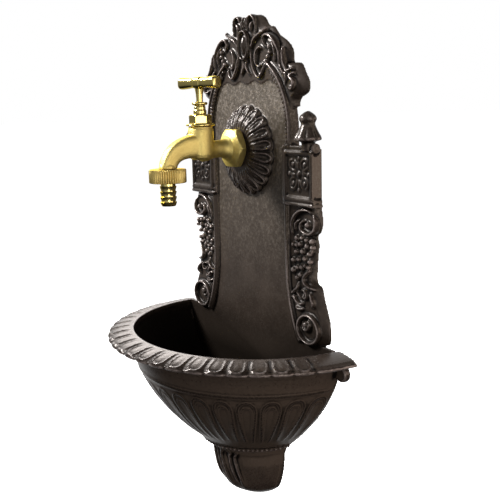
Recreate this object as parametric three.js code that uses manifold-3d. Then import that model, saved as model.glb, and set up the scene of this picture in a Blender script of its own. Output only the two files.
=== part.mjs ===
// Cast iron wall fountain: an arched back plate with carved pilasters and a scrolled
// crest, a half round basin on a fluted stem, and a brass bib tap with a T handle.
// Millimetres. The wall is the plane y = 0, the front looks along -y, x runs to the
// right as seen from the front and z is up. Heights in the sizes below are measured
// from the basin's rim, and the whole model is lowered at the end so that the middle
// of the wall fixing, on the back of the plate, is the origin.
import * as THREE from 'three';
import { mergeVertices } from 'three/addons/utils/BufferGeometryUtils.js';
import Module from 'manifold-3d';

const wasm = await Module();
wasm.setup();

const clearance = 0.3; // between pieces that touch
const fixingHeight = 200; // wall fixing above the rim

// Back plate
const fieldThickness = 6; // plain field
const frameDepth = 11; // pilasters and arch border, from the wall to their faces
const groundDepth = 8; // ground behind the carving of the consoles and the crest
const carvingRise = 3.4; // scrolls and beads above that ground
const plateDraft = 2; // slope of the sides between the wall and the front
const fieldHalfWidth = 57; // between the inner mouldings
const ledgeWidth = 5; // moulding beside the field
const ledgeDepth = 8.5; // its face, from the wall
const pilasterWidth = 40; // from the moulding to the front's outer corner
const consoleHeight = 122; // carved consoles, up from the rim
const blockHeight = 48; // square blocks on the consoles
const blockPanelSink = 2.6;
const blockFrameWidth = 4.5;
const corniceRadius = 3;
const hollowWall = 5; // iron left in front of the hollows in the plate's back

// Arch and crest
const archRadius = 70; // outer front edge of the arch's border
const archBorderWidth = 7;
const archSpring = 185.5;
const earReach = 18; // the crest's ears, beyond the arch's border
const crestHeight = 101.5; // from the arch's spring
const hemDrop = 22.5; // lower edge of the crest, under the crown of the border's inside
const cabochonHalfWidth = 6.5;
const cabochonHalfHeight = 11;

// Finials
const finialOffset = 31.5; // from the moulding beside the field
const finialDepth = 11;

// Rosette behind the tap
const tapHeight = 168.5;
const rosetteDrop = 2.5; // its middle, under the tap's axis
const rosetteRadius = 41.2;
const rosetteDepth = 20; // front, from the wall
const rosetteFrontRadius = 24;
const rosetteLobes = 20;
const rosetteScallop = 2.4; // how far the lobes' edges are drawn in between them

// Basin
const rimHalfWidth = 123.7; // inner lip
const rimReach = 117.5; // inner lip, from the end of the straight sides
const basinStandoff = 1.7; // straight length of the sides beside the wall
const basinWall = 5;
const basinBackWall = 2.5;
const flangeWidth = 24.7;
const flangeDroop = 5.9;
const flangeThickness = 4;
const flangeEdge = 2.6; // rolled outer edge
const flangeTongues = 24;
const tongueGroove = 1.3;
const bowlTongues = 16;
const bowlGroove = 1.6;
const tongueRise = 0.6;
const bowlHeight = 112; // rim to the top of the stem
const tongueTop = 41; // bowl tongues, below the rim
const tongueBottom = 97;
const footRoll = 1.4; // moulding round the bowl's foot, how far it stands out
const lugRadius = 7.5; // fixing ears at the wall, under the rim
const lugDepth = 6;
const basinInsideDepth = 92;
const stemHeight = 58;
const stemHalfWidth = 44;
const stemReach = 47;
const stemWall = 5;
const stemFlutes = 9;
const fluteDepth = 1.4;
const plateTongueDepth = 69; // back plate inside the basin, below the rim

// Tap
const tapBore = 15;
const tapShankRadius = 10.2;
const tapFlangeFlats = 34;
const tapFlangeThickness = 9.5;
const tapNeckRadius = 8.2;
const spindleReach = 57.4; // spindle's axis, from the wall
const chamberRadius = 11.6;
const chamberDrop = 8.9; // valve chamber's bottom, under the tap's axis
const chamberRise = 20.9; // its top, above the axis
const outletReach = 92.2; // outlet's axis, from the wall
const outletDrop = 15.1; // seat of the hose union, under the tap's axis
const spoutWidth = 16;
const bonnetDiscRadius = 13;
const bonnetDiscThickness = 2;
const bonnetHexFlats = 15.5;
const bonnetHexHeight = 7.5;
const glandRadius = 5.2;
const glandHeight = 9;
const collarRadius = 7;
const collarHeight = 2.6;
const spindleRadius = 3;
const spindleHeight = 16.8;
const handleLength = 50;
const handleRadius = 5;
const handleHubRadius = 6;
const handleAngle = 12; // degrees from the wall's direction, closed
const nutRadius = 16.6;
const nutHeight = 12;
const nutKnurls = 24;
const knurlDepth = 0.6;
const hoseTailRadius = 6.6;
const hoseBarb = 0.9;
const hoseBarbs = 4;
const hoseTailLength = 20.5;
const hoseBore = 9.5;

const pilasterOuter = fieldHalfWidth + ledgeWidth + pilasterWidth;
const pilasterInner = fieldHalfWidth + ledgeWidth;
const blockTop = consoleHeight + blockHeight;
const crestHalfWidth = archRadius + earReach;
const crestHem = archSpring + archRadius - archBorderWidth - hemDrop;
const rosetteHeight = tapHeight - rosetteDrop;
const chamberBottom = tapHeight - chamberDrop;
const chamberTop = tapHeight + chamberRise;
const outletTop = tapHeight - outletDrop;

// Solids from closed meshes, and back

function solidOf(geometry) {
  const bare = geometry.clone();
  bare.deleteAttribute('normal');
  bare.deleteAttribute('uv');
  const merged = mergeVertices(bare, 1e-4);
  return new wasm.Manifold(new wasm.Mesh({
    numProp: 3,
    vertProperties: Float32Array.from(merged.attributes.position.array),
    triVerts: Uint32Array.from(merged.index.array),
  }));
}

function join(solids) {
  return solids.reduce((whole, next) => whole.add(next));
}

function mirrored(geometry) {
  const copy = geometry.clone();
  const position = copy.attributes.position;
  for (let i = 0; i < position.count; i += 1) position.setX(i, -position.getX(i));
  const index = Array.from(copy.index ? copy.index.array : position.array.keys());
  const turned = [];
  const corners = copy.index ? index.length : position.count;
  for (let i = 0; i < corners; i += 3) turned.push(index[i], index[i + 2], index[i + 1]);
  copy.setIndex(turned);
  return copy;
}

function bothSides(geometries) {
  return geometries.flatMap((geometry) => [solidOf(geometry), solidOf(mirrored(geometry))]);
}

function meshOf(name, solid, material) {
  const { vertProperties, triVerts } = solid.getMesh();
  const geometry = new THREE.BufferGeometry();
  geometry.setAttribute('position', new THREE.BufferAttribute(Float32Array.from(vertProperties), 3));
  geometry.setIndex(new THREE.BufferAttribute(Uint32Array.from(triVerts), 1));
  geometry.computeVertexNormals();
  const mesh = new THREE.Mesh(geometry, material);
  mesh.name = name;
  return mesh;
}

// A closed solid through rings of points with equal counts, capped at both ends
function loft(rings) {
  const count = rings[0].length;
  const points = rings.flat();
  const triangles = [];
  for (let r = 0; r + 1 < rings.length; r += 1) {
    for (let i = 0; i < count; i += 1) {
      const a = r * count + i;
      const b = r * count + ((i + 1) % count);
      triangles.push([a, b, b + count], [a, b + count, a + count]);
    }
  }
  addCap(triangles, rings[0], 0, true);
  addCap(triangles, rings[rings.length - 1], (rings.length - 1) * count, false);
  const geometry = new THREE.BufferGeometry();
  geometry.setAttribute('position', new THREE.Float32BufferAttribute(points.flatMap((p) => p.toArray()), 3));
  geometry.setIndex(facingOut(points, triangles).flat());
  return geometry;
}

// The cap's outline is laid flat on its own plane before it is cut into triangles
function addCap(triangles, ring, first, reversed) {
  const normal = new THREE.Vector3();
  ring.forEach((point, i) => {
    normal.add(new THREE.Vector3().crossVectors(point, ring[(i + 1) % ring.length]));
  });
  normal.normalize();
  const turn = new THREE.Quaternion().setFromUnitVectors(normal, new THREE.Vector3(0, 0, 1));
  const flat = ring.map((point) => {
    const laid = point.clone().applyQuaternion(turn);
    return new THREE.Vector2(laid.x, laid.y);
  });
  for (const [a, b, c] of THREE.ShapeUtils.triangulateShape(flat, [])) {
    triangles.push(reversed ? [first + a, first + c, first + b] : [first + a, first + b, first + c]);
  }
}

function facingOut(points, triangles) {
  const volume = triangles.reduce((sum, [a, b, c]) => (
    sum + points[a].dot(new THREE.Vector3().crossVectors(points[b], points[c]))), 0);
  return volume < 0 ? triangles.map(([a, b, c]) => [a, c, b]) : triangles;
}

// Outlines on the wall are lists of [x, z]
function onWall(outline, depth) {
  return outline.map(([x, z]) => new THREE.Vector3(x, -depth, z));
}

function slab(outline, back, front) {
  return loft([onWall(outline, back), onWall(outline, front)]);
}

function tapered(backOutline, frontOutline, depth) {
  return loft([onWall(backOutline, 0), onWall(frontOutline, depth)]);
}

function rectangle(x0, x1, z0, z1, inset = 0) {
  return [
    [x0 + inset, z0 + inset],
    [x1 - inset, z0 + inset],
    [x1 - inset, z1 - inset],
    [x0 + inset, z1 - inset],
  ];
}

function box(x0, x1, back, front, z0, z1) {
  return slab(rectangle(x0, x1, z0, z1), back, front);
}

function withMirror(outline) {
  const left = outline.filter(([x]) => x > 0).map(([x, z]) => [-x, z]).reverse();
  return [...outline, ...left];
}

// An arched outline: straight sides from the foot up to the spring, then a half circle
function arch(halfWidth, foot, spring, steps = 24) {
  const outline = [[-halfWidth, foot], [halfWidth, foot]];
  for (let i = 0; i <= steps; i += 1) {
    const angle = (Math.PI * i) / steps;
    outline.push([halfWidth * Math.cos(angle), spring + halfWidth * Math.sin(angle)]);
  }
  return outline;
}

// A raised strap along a curve in the wall's plane, with a domed section that narrows
// towards its ends, sunk a little into the ground it lies on
function strap(points, { width, ground, rise, steps = 6, taper = 0.5 }) {
  const curve = new THREE.CatmullRomCurve3(points.map(([x, z]) => new THREE.Vector3(x, 0, z)));
  const rings = [];
  for (let i = 0; i <= steps; i += 1) {
    const t = i / steps;
    const centre = curve.getPoint(t);
    const along = curve.getTangent(t);
    const side = new THREE.Vector3(along.z, 0, -along.x);
    const share = taper + (1 - taper) * Math.sin(Math.PI * t);
    const half = (width / 2) * share;
    const at = (across, depth) => centre.clone().addScaledVector(side, across).setY(-depth);
    rings.push([
      at(-half, ground - 1),
      at(-half * 0.4, ground + rise * share),
      at(half * 0.4, ground + rise * share),
      at(half, ground - 1),
    ]);
  }
  return loft(rings);
}

// A round or oval boss on the ground, a low dome with a flat foot inside the iron
function boss(x, z, halfWidth, halfHeight, ground, rise, sides = 8) {
  const profile = sides > 6 ? [[1, -1], [0.9, 0.5 * rise], [0.45, rise]] : [[1.1, -1], [0.55, rise]];
  const rings = profile.map(([share, up]) => {
    const ring = [];
    for (let i = 0; i < sides; i += 1) {
      const angle = (2 * Math.PI * (i + 0.5)) / sides;
      const px = x + halfWidth * share * Math.cos(angle);
      const pz = z + halfHeight * share * Math.sin(angle);
      ring.push(new THREE.Vector3(px, -(ground + up), pz));
    }
    return ring;
  });
  return loft(rings);
}

// An oval raised ring, closed on itself
function ovalRing(x, z, halfWidth, halfHeight, ground, rise, width, steps = 12) {
  const section = [[-0.5, -1], [-0.35, rise], [0.35, rise], [0.5, -1]];
  const points = [];
  const triangles = [];
  for (let i = 0; i < steps; i += 1) {
    const angle = (2 * Math.PI * i) / steps;
    for (const [across, up] of section) {
      const px = x + (halfWidth + across * width) * Math.cos(angle);
      const pz = z + (halfHeight + across * width) * Math.sin(angle);
      points.push(new THREE.Vector3(px, -(ground + up), pz));
    }
  }
  for (let i = 0; i < steps; i += 1) {
    for (let j = 0; j < 4; j += 1) {
      const a = i * 4 + j;
      const b = i * 4 + ((j + 1) % 4);
      const c = ((i + 1) % steps) * 4 + ((j + 1) % 4);
      const d = ((i + 1) % steps) * 4 + j;
      triangles.push([a, b, c], [a, c, d]);
    }
  }
  const geometry = new THREE.BufferGeometry();
  geometry.setAttribute('position', new THREE.Float32BufferAttribute(points.flatMap((p) => p.toArray()), 3));
  geometry.setIndex(facingOut(points, triangles).flat());
  return geometry;
}

// Horizontal half oval around the basin's axis, flat against the wall
function halfOval(halfWidth, reach, z, segments, groove = () => 0, back = 0) {
  const ring = [new THREE.Vector3(halfWidth, -back, z)];
  for (let i = 0; i <= segments; i += 1) {
    const angle = (Math.PI * i) / segments;
    const cut = groove(i);
    const x = (halfWidth - cut) * Math.cos(angle);
    const y = -basinStandoff - back - (reach - cut) * Math.sin(angle);
    ring.push(new THREE.Vector3(x, y, z));
  }
  ring.push(new THREE.Vector3(-halfWidth, -back, z));
  return ring;
}

// Crest and console carving keeps its proportions as percentages of its own size

function crestPoint([u, v]) {
  return [(u / 100) * crestHalfWidth, archSpring + (v / 100) * crestHeight];
}

function consolePoint([u, v]) {
  return [pilasterInner + (u / 100) * pilasterWidth, (v / 100) * consoleHeight];
}

function crestBody() {
  const back = [
    [0, 101], [9, 99], [18, 100], [27, 97], [34, 90], [43, 88], [51, 81], [64, 75], [72, 69], [75, 63],
    [76, 56], [83, 56], [89, 54], [94, 47], [99, 41], [100, 35], [97, 30], [86, 26], [83, 19],
  ].map(crestPoint);
  const front = [
    [0, 98], [8, 94], [15, 97], [22, 92], [26, 86], [34, 83], [42, 79], [55, 73], [62, 68], [62, 62],
    [64, 56], [70, 55], [77, 53], [82, 47], [85, 41], [86, 36], [83, 31], [77, 27], [77, 19],
  ].map(crestPoint);
  const inside = archRadius - archBorderWidth;
  const hemAngle = Math.asin((crestHem - archSpring) / inside);
  const foot = [0.4, 0.7, 1].map((share) => [
    inside * Math.cos(hemAngle * share),
    archSpring + inside * Math.sin(hemAngle * share),
  ]);
  foot.push([0, crestHem]);
  return tapered(withMirror([...back, ...foot]), withMirror([...front, ...foot]), groundDepth);
}

// The hem of the crest hangs over the field in round lobes
function crestHemLobes() {
  const lobeWidth = 0.11 * crestHalfWidth;
  return [0.13, 0.34].map((share) => (
    boss(share * crestHalfWidth, crestHem + 4, lobeWidth, lobeWidth * 0.9, fieldThickness, 4.2)));
}

function crestCarving() {
  const raised = { width: 4.6, ground: groundDepth, rise: carvingRise };
  const strapOf = (points, options = {}) => strap(points.map(crestPoint), { ...raised, ...options });
  const berries = [[45, 69], [45, 65], [42, 61], [39, 57]].map((share) => {
    const [x, z] = crestPoint(share);
    return boss(x, z, 2.2, 2.2, groundDepth, carvingRise, 6);
  });
  return [
    strapOf([[13, 74], [20, 79], [27, 83], [33, 83]], { steps: 4 }),
    strapOf([[41, 73], [36, 75], [35, 79], [41, 82], [49, 80], [57, 74], [60, 66], [59, 58], [56, 51]]),
    strapOf([[32, 69], [25, 70], [20, 65], [21, 58], [27, 56]], { steps: 5, width: 4 }),
    strapOf([[6, 66], [11, 60], [16, 53], [20, 48], [25, 46], [31, 47], [34, 53]], { steps: 7, width: 4 }),
    strapOf([[1, 63], [6, 56], [10, 49]], { steps: 3, width: 3.6 }),
    strapOf([[66, 69], [68, 62], [72, 55], [79, 50], [84, 53]], { steps: 5 }),
    strapOf([[86, 49], [79, 44], [85, 40], [82, 34], [75, 34]], { steps: 6 }),
    strapOf([[9, 84], [12, 90], [15, 96]], { steps: 3, width: 7 }),
    ...berries,
  ];
}

function crestCentre() {
  const [x, z] = crestPoint([0, 76]);
  return [
    ovalRing(x, z, cabochonHalfWidth, cabochonHalfHeight, groundDepth, carvingRise, 2.6),
    boss(x, z, cabochonHalfWidth * 0.6, cabochonHalfHeight * 0.7, groundDepth, carvingRise, 8),
    strap([[0, 87], [0, 92], [0, 98]].map(crestPoint), {
      width: 7, ground: groundDepth, rise: carvingRise, steps: 4,
    }),
  ];
}

function archBorder() {
  const foot = blockTop;
  const outer = archRadius + plateDraft;
  const whole = tapered(arch(outer, foot, archSpring), arch(archRadius, foot, archSpring), frameDepth);
  const opening = slab(arch(archRadius - archBorderWidth, foot - 1, archSpring), -1, frameDepth + 1);
  const underCrest = box(-outer, outer, groundDepth, frameDepth + 1, crestHem + 17, archSpring + 2 * outer);
  return solidOf(whole).subtract(solidOf(opening)).subtract(solidOf(underCrest));
}

// Plain field: an arch on the wall down to the rim, and a tongue inside the basin
function field() {
  const aboveRim = arch(archRadius, clearance, archSpring);
  return join([
    solidOf(slab(aboveRim, 0, fieldThickness)),
    solidOf(slab(consoleFoot(), 0, fieldThickness)),
    solidOf(plateTongue()),
  ]);
}

// The plate's foot fills the corners that the consoles' curved inner edges leave
function consoleFoot() {
  const low = 0.06 * consoleHeight;
  const high = 0.2 * consoleHeight;
  const inner = pilasterInner + 0.35 * pilasterWidth;
  const outer = pilasterOuter - plateDraft;
  return withMirror([[outer, clearance], [outer, low], [inner, low], [inner, high]]);
}

function plateTongue() {
  const back = basinBackWall + clearance;
  const levels = insideLevels().filter((down) => down <= plateTongueDepth).reverse();
  const outline = levels.map((down) => [basinInside(-down).halfWidth - 2 * clearance, -down]);
  outline.push([outline[outline.length - 1][0], 2 * clearance]);
  return slab(withMirror(outline), back, fieldThickness);
}

function block() {
  const back = rectangle(fieldHalfWidth, pilasterOuter + plateDraft, consoleHeight, blockTop);
  const front = rectangle(pilasterInner, pilasterOuter, consoleHeight, blockTop);
  return tapered(back, front, frameDepth);
}

function blockPanel() {
  const z0 = consoleHeight + 2 * corniceRadius;
  const z1 = blockTop - corniceRadius;
  const outline = rectangle(pilasterInner, pilasterOuter, z0, z1, blockFrameWidth);
  return slab(outline, frameDepth - blockPanelSink, frameDepth + 1);
}

// A round moulding along the block's face that turns the corner onto its side
function roll(z, radius) {
  const sides = 8;
  const at = (x, depth) => {
    const ring = [];
    for (let i = 0; i < sides; i += 1) {
      const angle = (2 * Math.PI * (i + 0.5)) / sides;
      ring.push([x, depth, radius * Math.cos(angle), radius * Math.sin(angle)]);
    }
    return ring;
  };
  const faceDepth = frameDepth - radius * 0.5;
  const outer = pilasterOuter;
  const rings = [
    at(fieldHalfWidth + 1.5, faceDepth).map(([x, d, a, b]) => new THREE.Vector3(x, -(d + a), z + b)),
    at(outer, faceDepth).map(([x, d, a, b]) => new THREE.Vector3(x + a, -(d + a), z + b)),
    at(outer + 0.6 * radius, 1).map(([x, d, a, b]) => new THREE.Vector3(x + a, -d, z + b)),
  ];
  return loft(rings);
}

// Four broad petals between four narrow ones about a round eye
function blockFlower() {
  const x = (pilasterInner + pilasterOuter) / 2;
  const z = consoleHeight + corniceRadius * 0.5 + blockHeight / 2;
  const ground = frameDepth - blockPanelSink;
  const reach = pilasterWidth / 2 - blockFrameWidth - 1;
  const petals = [];
  for (let i = 0; i < 8; i += 1) {
    const angle = (Math.PI * i) / 4;
    const broad = i % 2 === 1;
    const tip = broad ? reach * 1.12 : reach * 0.9;
    const points = [broad ? 0.3 : 0.5, 0.7, 1].map((share) => [
      x + tip * share * Math.cos(angle),
      z + tip * share * Math.sin(angle),
    ]);
    petals.push(strap(points, {
      width: broad ? 8.5 : 5.5, ground, rise: broad ? 2.6 : 2, steps: 2, taper: 0.45,
    }));
  }
  petals.push(boss(x, z, 3.6, 3.6, ground, 3.4, 6));
  return petals;
}

// The console's edge towards the field, curving away from it near the rim
const consoleInner = [[44, 0.3], [30, 8], [16, 20], [7, 32], [1, 49], [0, 101]];

function consoleBody() {
  const back = [
    [98, 101], [104, 93], [105, 87], [98, 81], [88, 78], [92, 72], [89, 65], [86, 56], [86, 45],
    [102, 42], [110, 34], [118, 27], [128, 18], [131, 8], [126, 2], [110, 0.3],
  ].map(consolePoint);
  const front = [
    [90, 101], [92, 93], [90, 87], [80, 81], [68, 78], [72, 72], [68, 65], [66, 56], [74, 48],
    [88, 41], [92, 34], [99, 27], [111, 19], [114, 10], [108, 2], [92, 0.3],
  ].map(consolePoint);
  const inner = consoleInner.map(consolePoint);
  return tapered([...back, ...inner], [...front, ...inner], groundDepth);
}

function consoleCarving() {
  const raised = { width: 4.4, ground: groundDepth, rise: carvingRise };
  const strapOf = (points, options = {}) => strap(points.map(consolePoint), { ...raised, ...options });
  const beads = [];
  const rows = [[17, 73, 3], [15, 66, 3], [20, 60, 3], [30, 54, 2]];
  rows.forEach(([u, v, count], row) => {
    for (let i = 0; i < count; i += 1) {
      const [x, z] = consolePoint([u + i * 24, v + (i % 2) * 3]);
      const size = row === 3 ? 2.6 : 3.2;
      beads.push(boss(x, z, size, size, groundDepth, carvingRise, 6));
    }
  });
  const [ringX, ringZ] = consolePoint([74, 12]);
  return [
    strapOf([[5, 101], [5, 49], [12, 32], [21, 19], [36, 6], [50, 1.5]], { width: 4, steps: 8, taper: 0.9 }),
    strapOf([[13, 79], [20, 90], [40, 96], [62, 97], [82, 93], [90, 87], [86, 81]], { steps: 7 }),
    strapOf([[84, 80], [66, 79], [50, 83], [54, 89], [70, 89]], { steps: 5, width: 4 }),
    strapOf([[80, 54], [66, 50], [60, 45], [70, 42], [90, 41]], { steps: 5, width: 5 }),
    strapOf([[40, 46], [32, 40], [13, 35]], { steps: 3, width: 4 }),
    strapOf([[12, 31], [28, 32], [38, 29], [48, 25]], { steps: 4, width: 4 }),
    strapOf([[60, 45], [52, 36], [60, 29], [84, 30], [92, 35]], { steps: 5, width: 4 }),
    ovalRing(ringX, ringZ, 0.36 * pilasterWidth, 0.105 * consoleHeight, groundDepth, carvingRise, 4.2),
    boss(...consolePoint([66, 14]), 4, 5, groundDepth, carvingRise),
    ...beads,
  ];
}

// A small urn on the block, round in front and running back to the wall
function finial() {
  const x = pilasterInner + finialOffset;
  const profile = [
    [-1, 4.6], [6, 4.2], [7.5, 11.6], [12, 10.6], [17, 6.6], [20, 4.8], [22, 6.6], [26, 5.2], [30.5, 0.8],
  ];
  const sides = 10;
  const rings = profile.map(([up, radius]) => {
    const ring = [new THREE.Vector3(x + radius, 0, blockTop + up)];
    for (let i = 0; i <= sides / 2; i += 1) {
      const angle = (2 * Math.PI * i) / sides;
      const depth = finialDepth - radius * 0.45 + radius * 0.45 * Math.sin(angle);
      ring.push(new THREE.Vector3(x + radius * Math.cos(angle), -depth, blockTop + up));
    }
    ring.push(new THREE.Vector3(x - radius, 0, blockTop + up));
    return ring;
  });
  return loft(rings);
}

// Cone of iron behind the tap, its face and foot drawn into lobes like petals
function rosette() {
  const cuts = 3 * rosetteLobes;
  const rise = rosetteDepth - fieldThickness;
  const rings = [
    [rosetteRadius, fieldThickness - 1, rosetteScallop],
    [rosetteRadius, fieldThickness + 0.18 * rise, rosetteScallop],
    [0.62 * rosetteRadius + 0.38 * rosetteFrontRadius, fieldThickness + 0.66 * rise, rosetteScallop * 0.8],
    [rosetteFrontRadius, rosetteDepth, rosetteScallop * 0.4],
  ].map(([radius, depth, cut]) => {
    const ring = [];
    for (let i = 0; i < cuts; i += 1) {
      const angle = (2 * Math.PI * i) / cuts;
      const reach = i % 3 === 0 ? radius - cut : radius;
      ring.push(new THREE.Vector3(reach * Math.cos(angle), -depth, rosetteHeight + reach * Math.sin(angle)));
    }
    return ring;
  });
  return solidOf(loft(rings));
}

// Shallow hollows in the back keep the wall of the casting even
function backHollows() {
  const inset = 4;
  const blockHollow = box(pilasterInner, pilasterOuter - inset, -1, frameDepth - hollowWall - blockPanelSink,
    consoleHeight + inset, blockTop - inset);
  const consoleHollow = box(pilasterInner + inset, pilasterInner + 0.6 * pilasterWidth, -1,
    groundDepth - hollowWall, 0.3 * consoleHeight, consoleHeight - inset);
  return join(bothSides([blockHollow, consoleHollow]));
}

function tapHole() {
  const radius = tapShankRadius + clearance;
  const hole = new THREE.CylinderGeometry(radius, radius, 2 * rosetteDepth + 4, 24);
  hole.translate(0, 0, tapHeight);
  return solidOf(hole);
}

function backPlate() {
  const carved = [
    ...bothSides([block()]).map((solid, i) => {
      const panel = bothSides([blockPanel()])[i];
      return solid.subtract(panel);
    }),
    ...bothSides([
      consoleBody(),
      roll(blockTop - corniceRadius * 0.4, corniceRadius),
      roll(consoleHeight + corniceRadius * 0.3, corniceRadius * 0.6),
      finial(),
      ...blockFlower(),
      ...consoleCarving(),
      ...crestCarving(),
      ...crestHemLobes(),
    ]),
    ...crestCentre().map(solidOf),
    solidOf(crestBody()),
    ledge(),
    archBorder(),
    field(),
    rosette(),
  ];
  return join(carved).subtract(backHollows()).subtract(tapHole());
}

// Stepped moulding between the field and the consoles, along their inner edge
function ledge() {
  const edge = consoleInner.map(consolePoint);
  edge.push([pilasterInner, blockTop + 1]);
  const inside = edge.map(([x, z]) => [x - ledgeWidth, z]);
  const outside = edge.map(([x, z]) => [x + 1, z]).reverse();
  return join(bothSides([slab([...inside, ...outside], 0, ledgeDepth)]));
}

// Basin profiles: half width against the wall and reach from it, at each height

function bowlOutside(z) {
  const depth = Math.min(1, Math.max(0, -z / bowlHeight));
  const shape = 1 - Math.pow(depth, 1.8);
  const reachShare = rimReach / rimHalfWidth;
  const top = rimHalfWidth + basinWall;
  const halfWidth = stemHalfWidth + 4 + (top - stemHalfWidth - 4) * shape;
  const blend = reachShare + (stemReach / stemHalfWidth - reachShare) * (1 - shape);
  return { halfWidth, reach: halfWidth * blend };
}

// The inside follows the outside a wall's thickness away, down to a flat floor
function basinInside(z) {
  const outside = bowlOutside(z);
  const wall = basinWall * (1 - 0.5 * z / basinInsideDepth);
  return { halfWidth: outside.halfWidth - wall, reach: outside.reach - wall };
}

// Depths below the rim where the inside is drawn, from the rim to the floor
function insideLevels() {
  return [0, 0.22, 0.41, 0.59, 0.74, 0.87, 0.96, 1].map((share) => share * basinInsideDepth);
}

function flange() {
  const segments = 3 * flangeTongues;
  const groove = (depth) => (i) => (i % 3 === 0 ? depth : 0);
  const outer = { halfWidth: rimHalfWidth + flangeWidth, reach: rimReach + flangeWidth };
  const ring = (inset, z, cut, drop) => halfOval(
    outer.halfWidth - inset, outer.reach - inset, z, segments, groove(cut),
  ).map((point, i) => (drop && (i - 1) % 3 === 0 ? point.setZ(point.z - drop) : point));
  return loft([
    ring(flangeWidth - basinWall * 0.5, -flangeDroop * 0.2 - 1.6 * flangeThickness, 0, 0),
    ring(1.2, -flangeDroop - flangeEdge, tongueGroove, 0),
    ring(0, -flangeDroop - flangeEdge * 0.4, tongueGroove, 0),
    ring(1.2, -flangeDroop * 0.8, tongueGroove, tongueGroove * 0.8),
    ring(flangeWidth * 0.82, -flangeDroop * 0.12, 0, tongueGroove * 0.6),
    ring(flangeWidth - 0.2, 0, 0, 0),
  ]);
}

function bowl() {
  const segments = 3 * bowlTongues;
  const ring = (down, cut) => {
    const { halfWidth, reach } = bowlOutside(-down);
    return halfOval(halfWidth, reach, -down, segments, cut);
  };
  const plain = (out) => () => -out;
  const tongued = (i) => (i % 3 === 0 ? bowlGroove : -tongueRise);
  const middle = [1 / 3, 2 / 3].map((share) => tongueTop + share * (tongueBottom - tongueTop));
  return loft([
    ring(flangeThickness, plain(0)),
    ring(tongueTop / 2, plain(0)),
    ring(tongueTop, plain(tongueRise)),
    ring(tongueTop + 4, tongued),
    ...middle.map((down) => ring(down, tongued)),
    ring(tongueBottom - 5, tongued),
    ring(tongueBottom, plain(tongueRise)),
    ring(bowlHeight - 2 * footRoll, plain(0)),
    ring(bowlHeight - 1.6 * footRoll, plain(footRoll)),
    ring(bowlHeight - 0.4 * footRoll, plain(footRoll)),
    ring(bowlHeight, plain(0)),
  ]);
}

function stem() {
  const segments = 2 * stemFlutes;
  const profile = [
    [-0.02, 1.08, 0], [0.1, 1, 0], [0.16, 0.97, 1], [0.4, 0.93, 1], [0.6, 0.86, 1], [0.78, 0.75, 1],
    [0.9, 0.58, 0], [0.97, 0.38, 0], [1, 0.16, 0],
  ];
  return loft(profile.map(([down, share, fluted]) => {
    const z = -bowlHeight - down * stemHeight;
    const cut = (i) => (fluted && i % 2 === 0 ? fluteDepth : 0);
    const halfWidth = stemHalfWidth * Math.max(share, 0.62 * share + 0.2);
    return halfOval(halfWidth, stemReach * share, z, segments, cut);
  }));
}

function stemHollow() {
  const top = -bowlHeight - stemWall * 0.4;
  const rings = [[0, 1], [0.45, 0.9], [0.75, 0.66], [0.85, 0.4]].map(([down, share]) => {
    const z = top - down * stemHeight;
    const halfWidth = stemHalfWidth * share - stemWall;
    const reach = stemReach * share - stemWall;
    const ring = halfOval(halfWidth, reach, z, 12);
    ring[0].y = 1;
    ring[ring.length - 1].y = 1;
    return ring;
  });
  return solidOf(loft(rings));
}

function basinHollow() {
  const rings = [2, ...insideLevels().map((down) => -down)].map((z) => {
    const { halfWidth, reach } = basinInside(Math.min(z, 0));
    return halfOval(halfWidth, reach - basinBackWall, z, 24, () => 0, basinBackWall);
  });
  return solidOf(loft(rings));
}

// Ears under the ends of the rim, against the wall
function wallLug() {
  const z = -flangeDroop - 2 * flangeThickness - lugRadius * 0.5;
  const x = rimHalfWidth + basinWall + lugRadius * 0.4;
  const ear = new THREE.CylinderGeometry(lugRadius, lugRadius * 0.86, lugDepth, 14);
  ear.translate(x, -lugDepth / 2, z);
  const web = box(rimHalfWidth - basinWall, x, 0, lugDepth, z - lugRadius * 0.9, z + lugRadius * 0.9);
  return [ear, web];
}

function basin() {
  return join([solidOf(flange()), solidOf(bowl()), solidOf(stem()), ...bothSides(wallLug())])
    .subtract(basinHollow())
    .subtract(stemHollow());
}

// Tap parts

function cylinderAlong(axis, radius, from, to, sides) {
  const geometry = new THREE.CylinderGeometry(radius, radius, to - from, sides);
  if (axis === 'y') {
    geometry.rotateY(Math.PI / sides);
    geometry.translate(0, -(from + to) / 2, 0);
  } else {
    geometry.rotateX(Math.PI / 2);
    geometry.rotateZ(Math.PI / sides);
    geometry.translate(0, 0, (from + to) / 2);
  }
  return geometry;
}

// A turned piece about the vertical, from rows of [radius, z] that close on the axis
function turned(profile, sides) {
  const geometry = new THREE.LatheGeometry(profile.map(([r, z]) => new THREE.Vector2(r, z)), sides);
  geometry.rotateX(Math.PI / 2);
  return geometry;
}

function hexagon(flats, from, to, axis) {
  return cylinderAlong(axis, flats / Math.sqrt(3), from, to, 6);
}

function spout() {
  const start = new THREE.Vector3(0, -spindleReach + 2, tapHeight + 4);
  const corner = new THREE.Vector3(0, -outletReach + 5, tapHeight + 5.5);
  const end = new THREE.Vector3(0, -outletReach + 0.8, outletTop + 2);
  const curve = new THREE.QuadraticBezierCurve3(start, corner, end);
  const rings = [];
  const steps = 9;
  const sides = 10;
  for (let i = 0; i <= steps; i += 1) {
    const t = i / steps;
    const centre = curve.getPoint(t);
    const along = curve.getTangent(t);
    const up = new THREE.Vector3(0, -along.z, along.y).normalize();
    const height = spoutWidth * (0.6 - 0.18 * t);
    const ring = [];
    for (let j = 0; j < sides; j += 1) {
      const angle = (2 * Math.PI * (j + 0.5)) / sides;
      const point = centre.clone().addScaledVector(up, height * Math.sin(angle));
      point.x += (spoutWidth / 2) * Math.cos(angle);
      ring.push(point);
    }
    rings.push(ring);
  }
  return solidOf(loft(rings));
}

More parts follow.
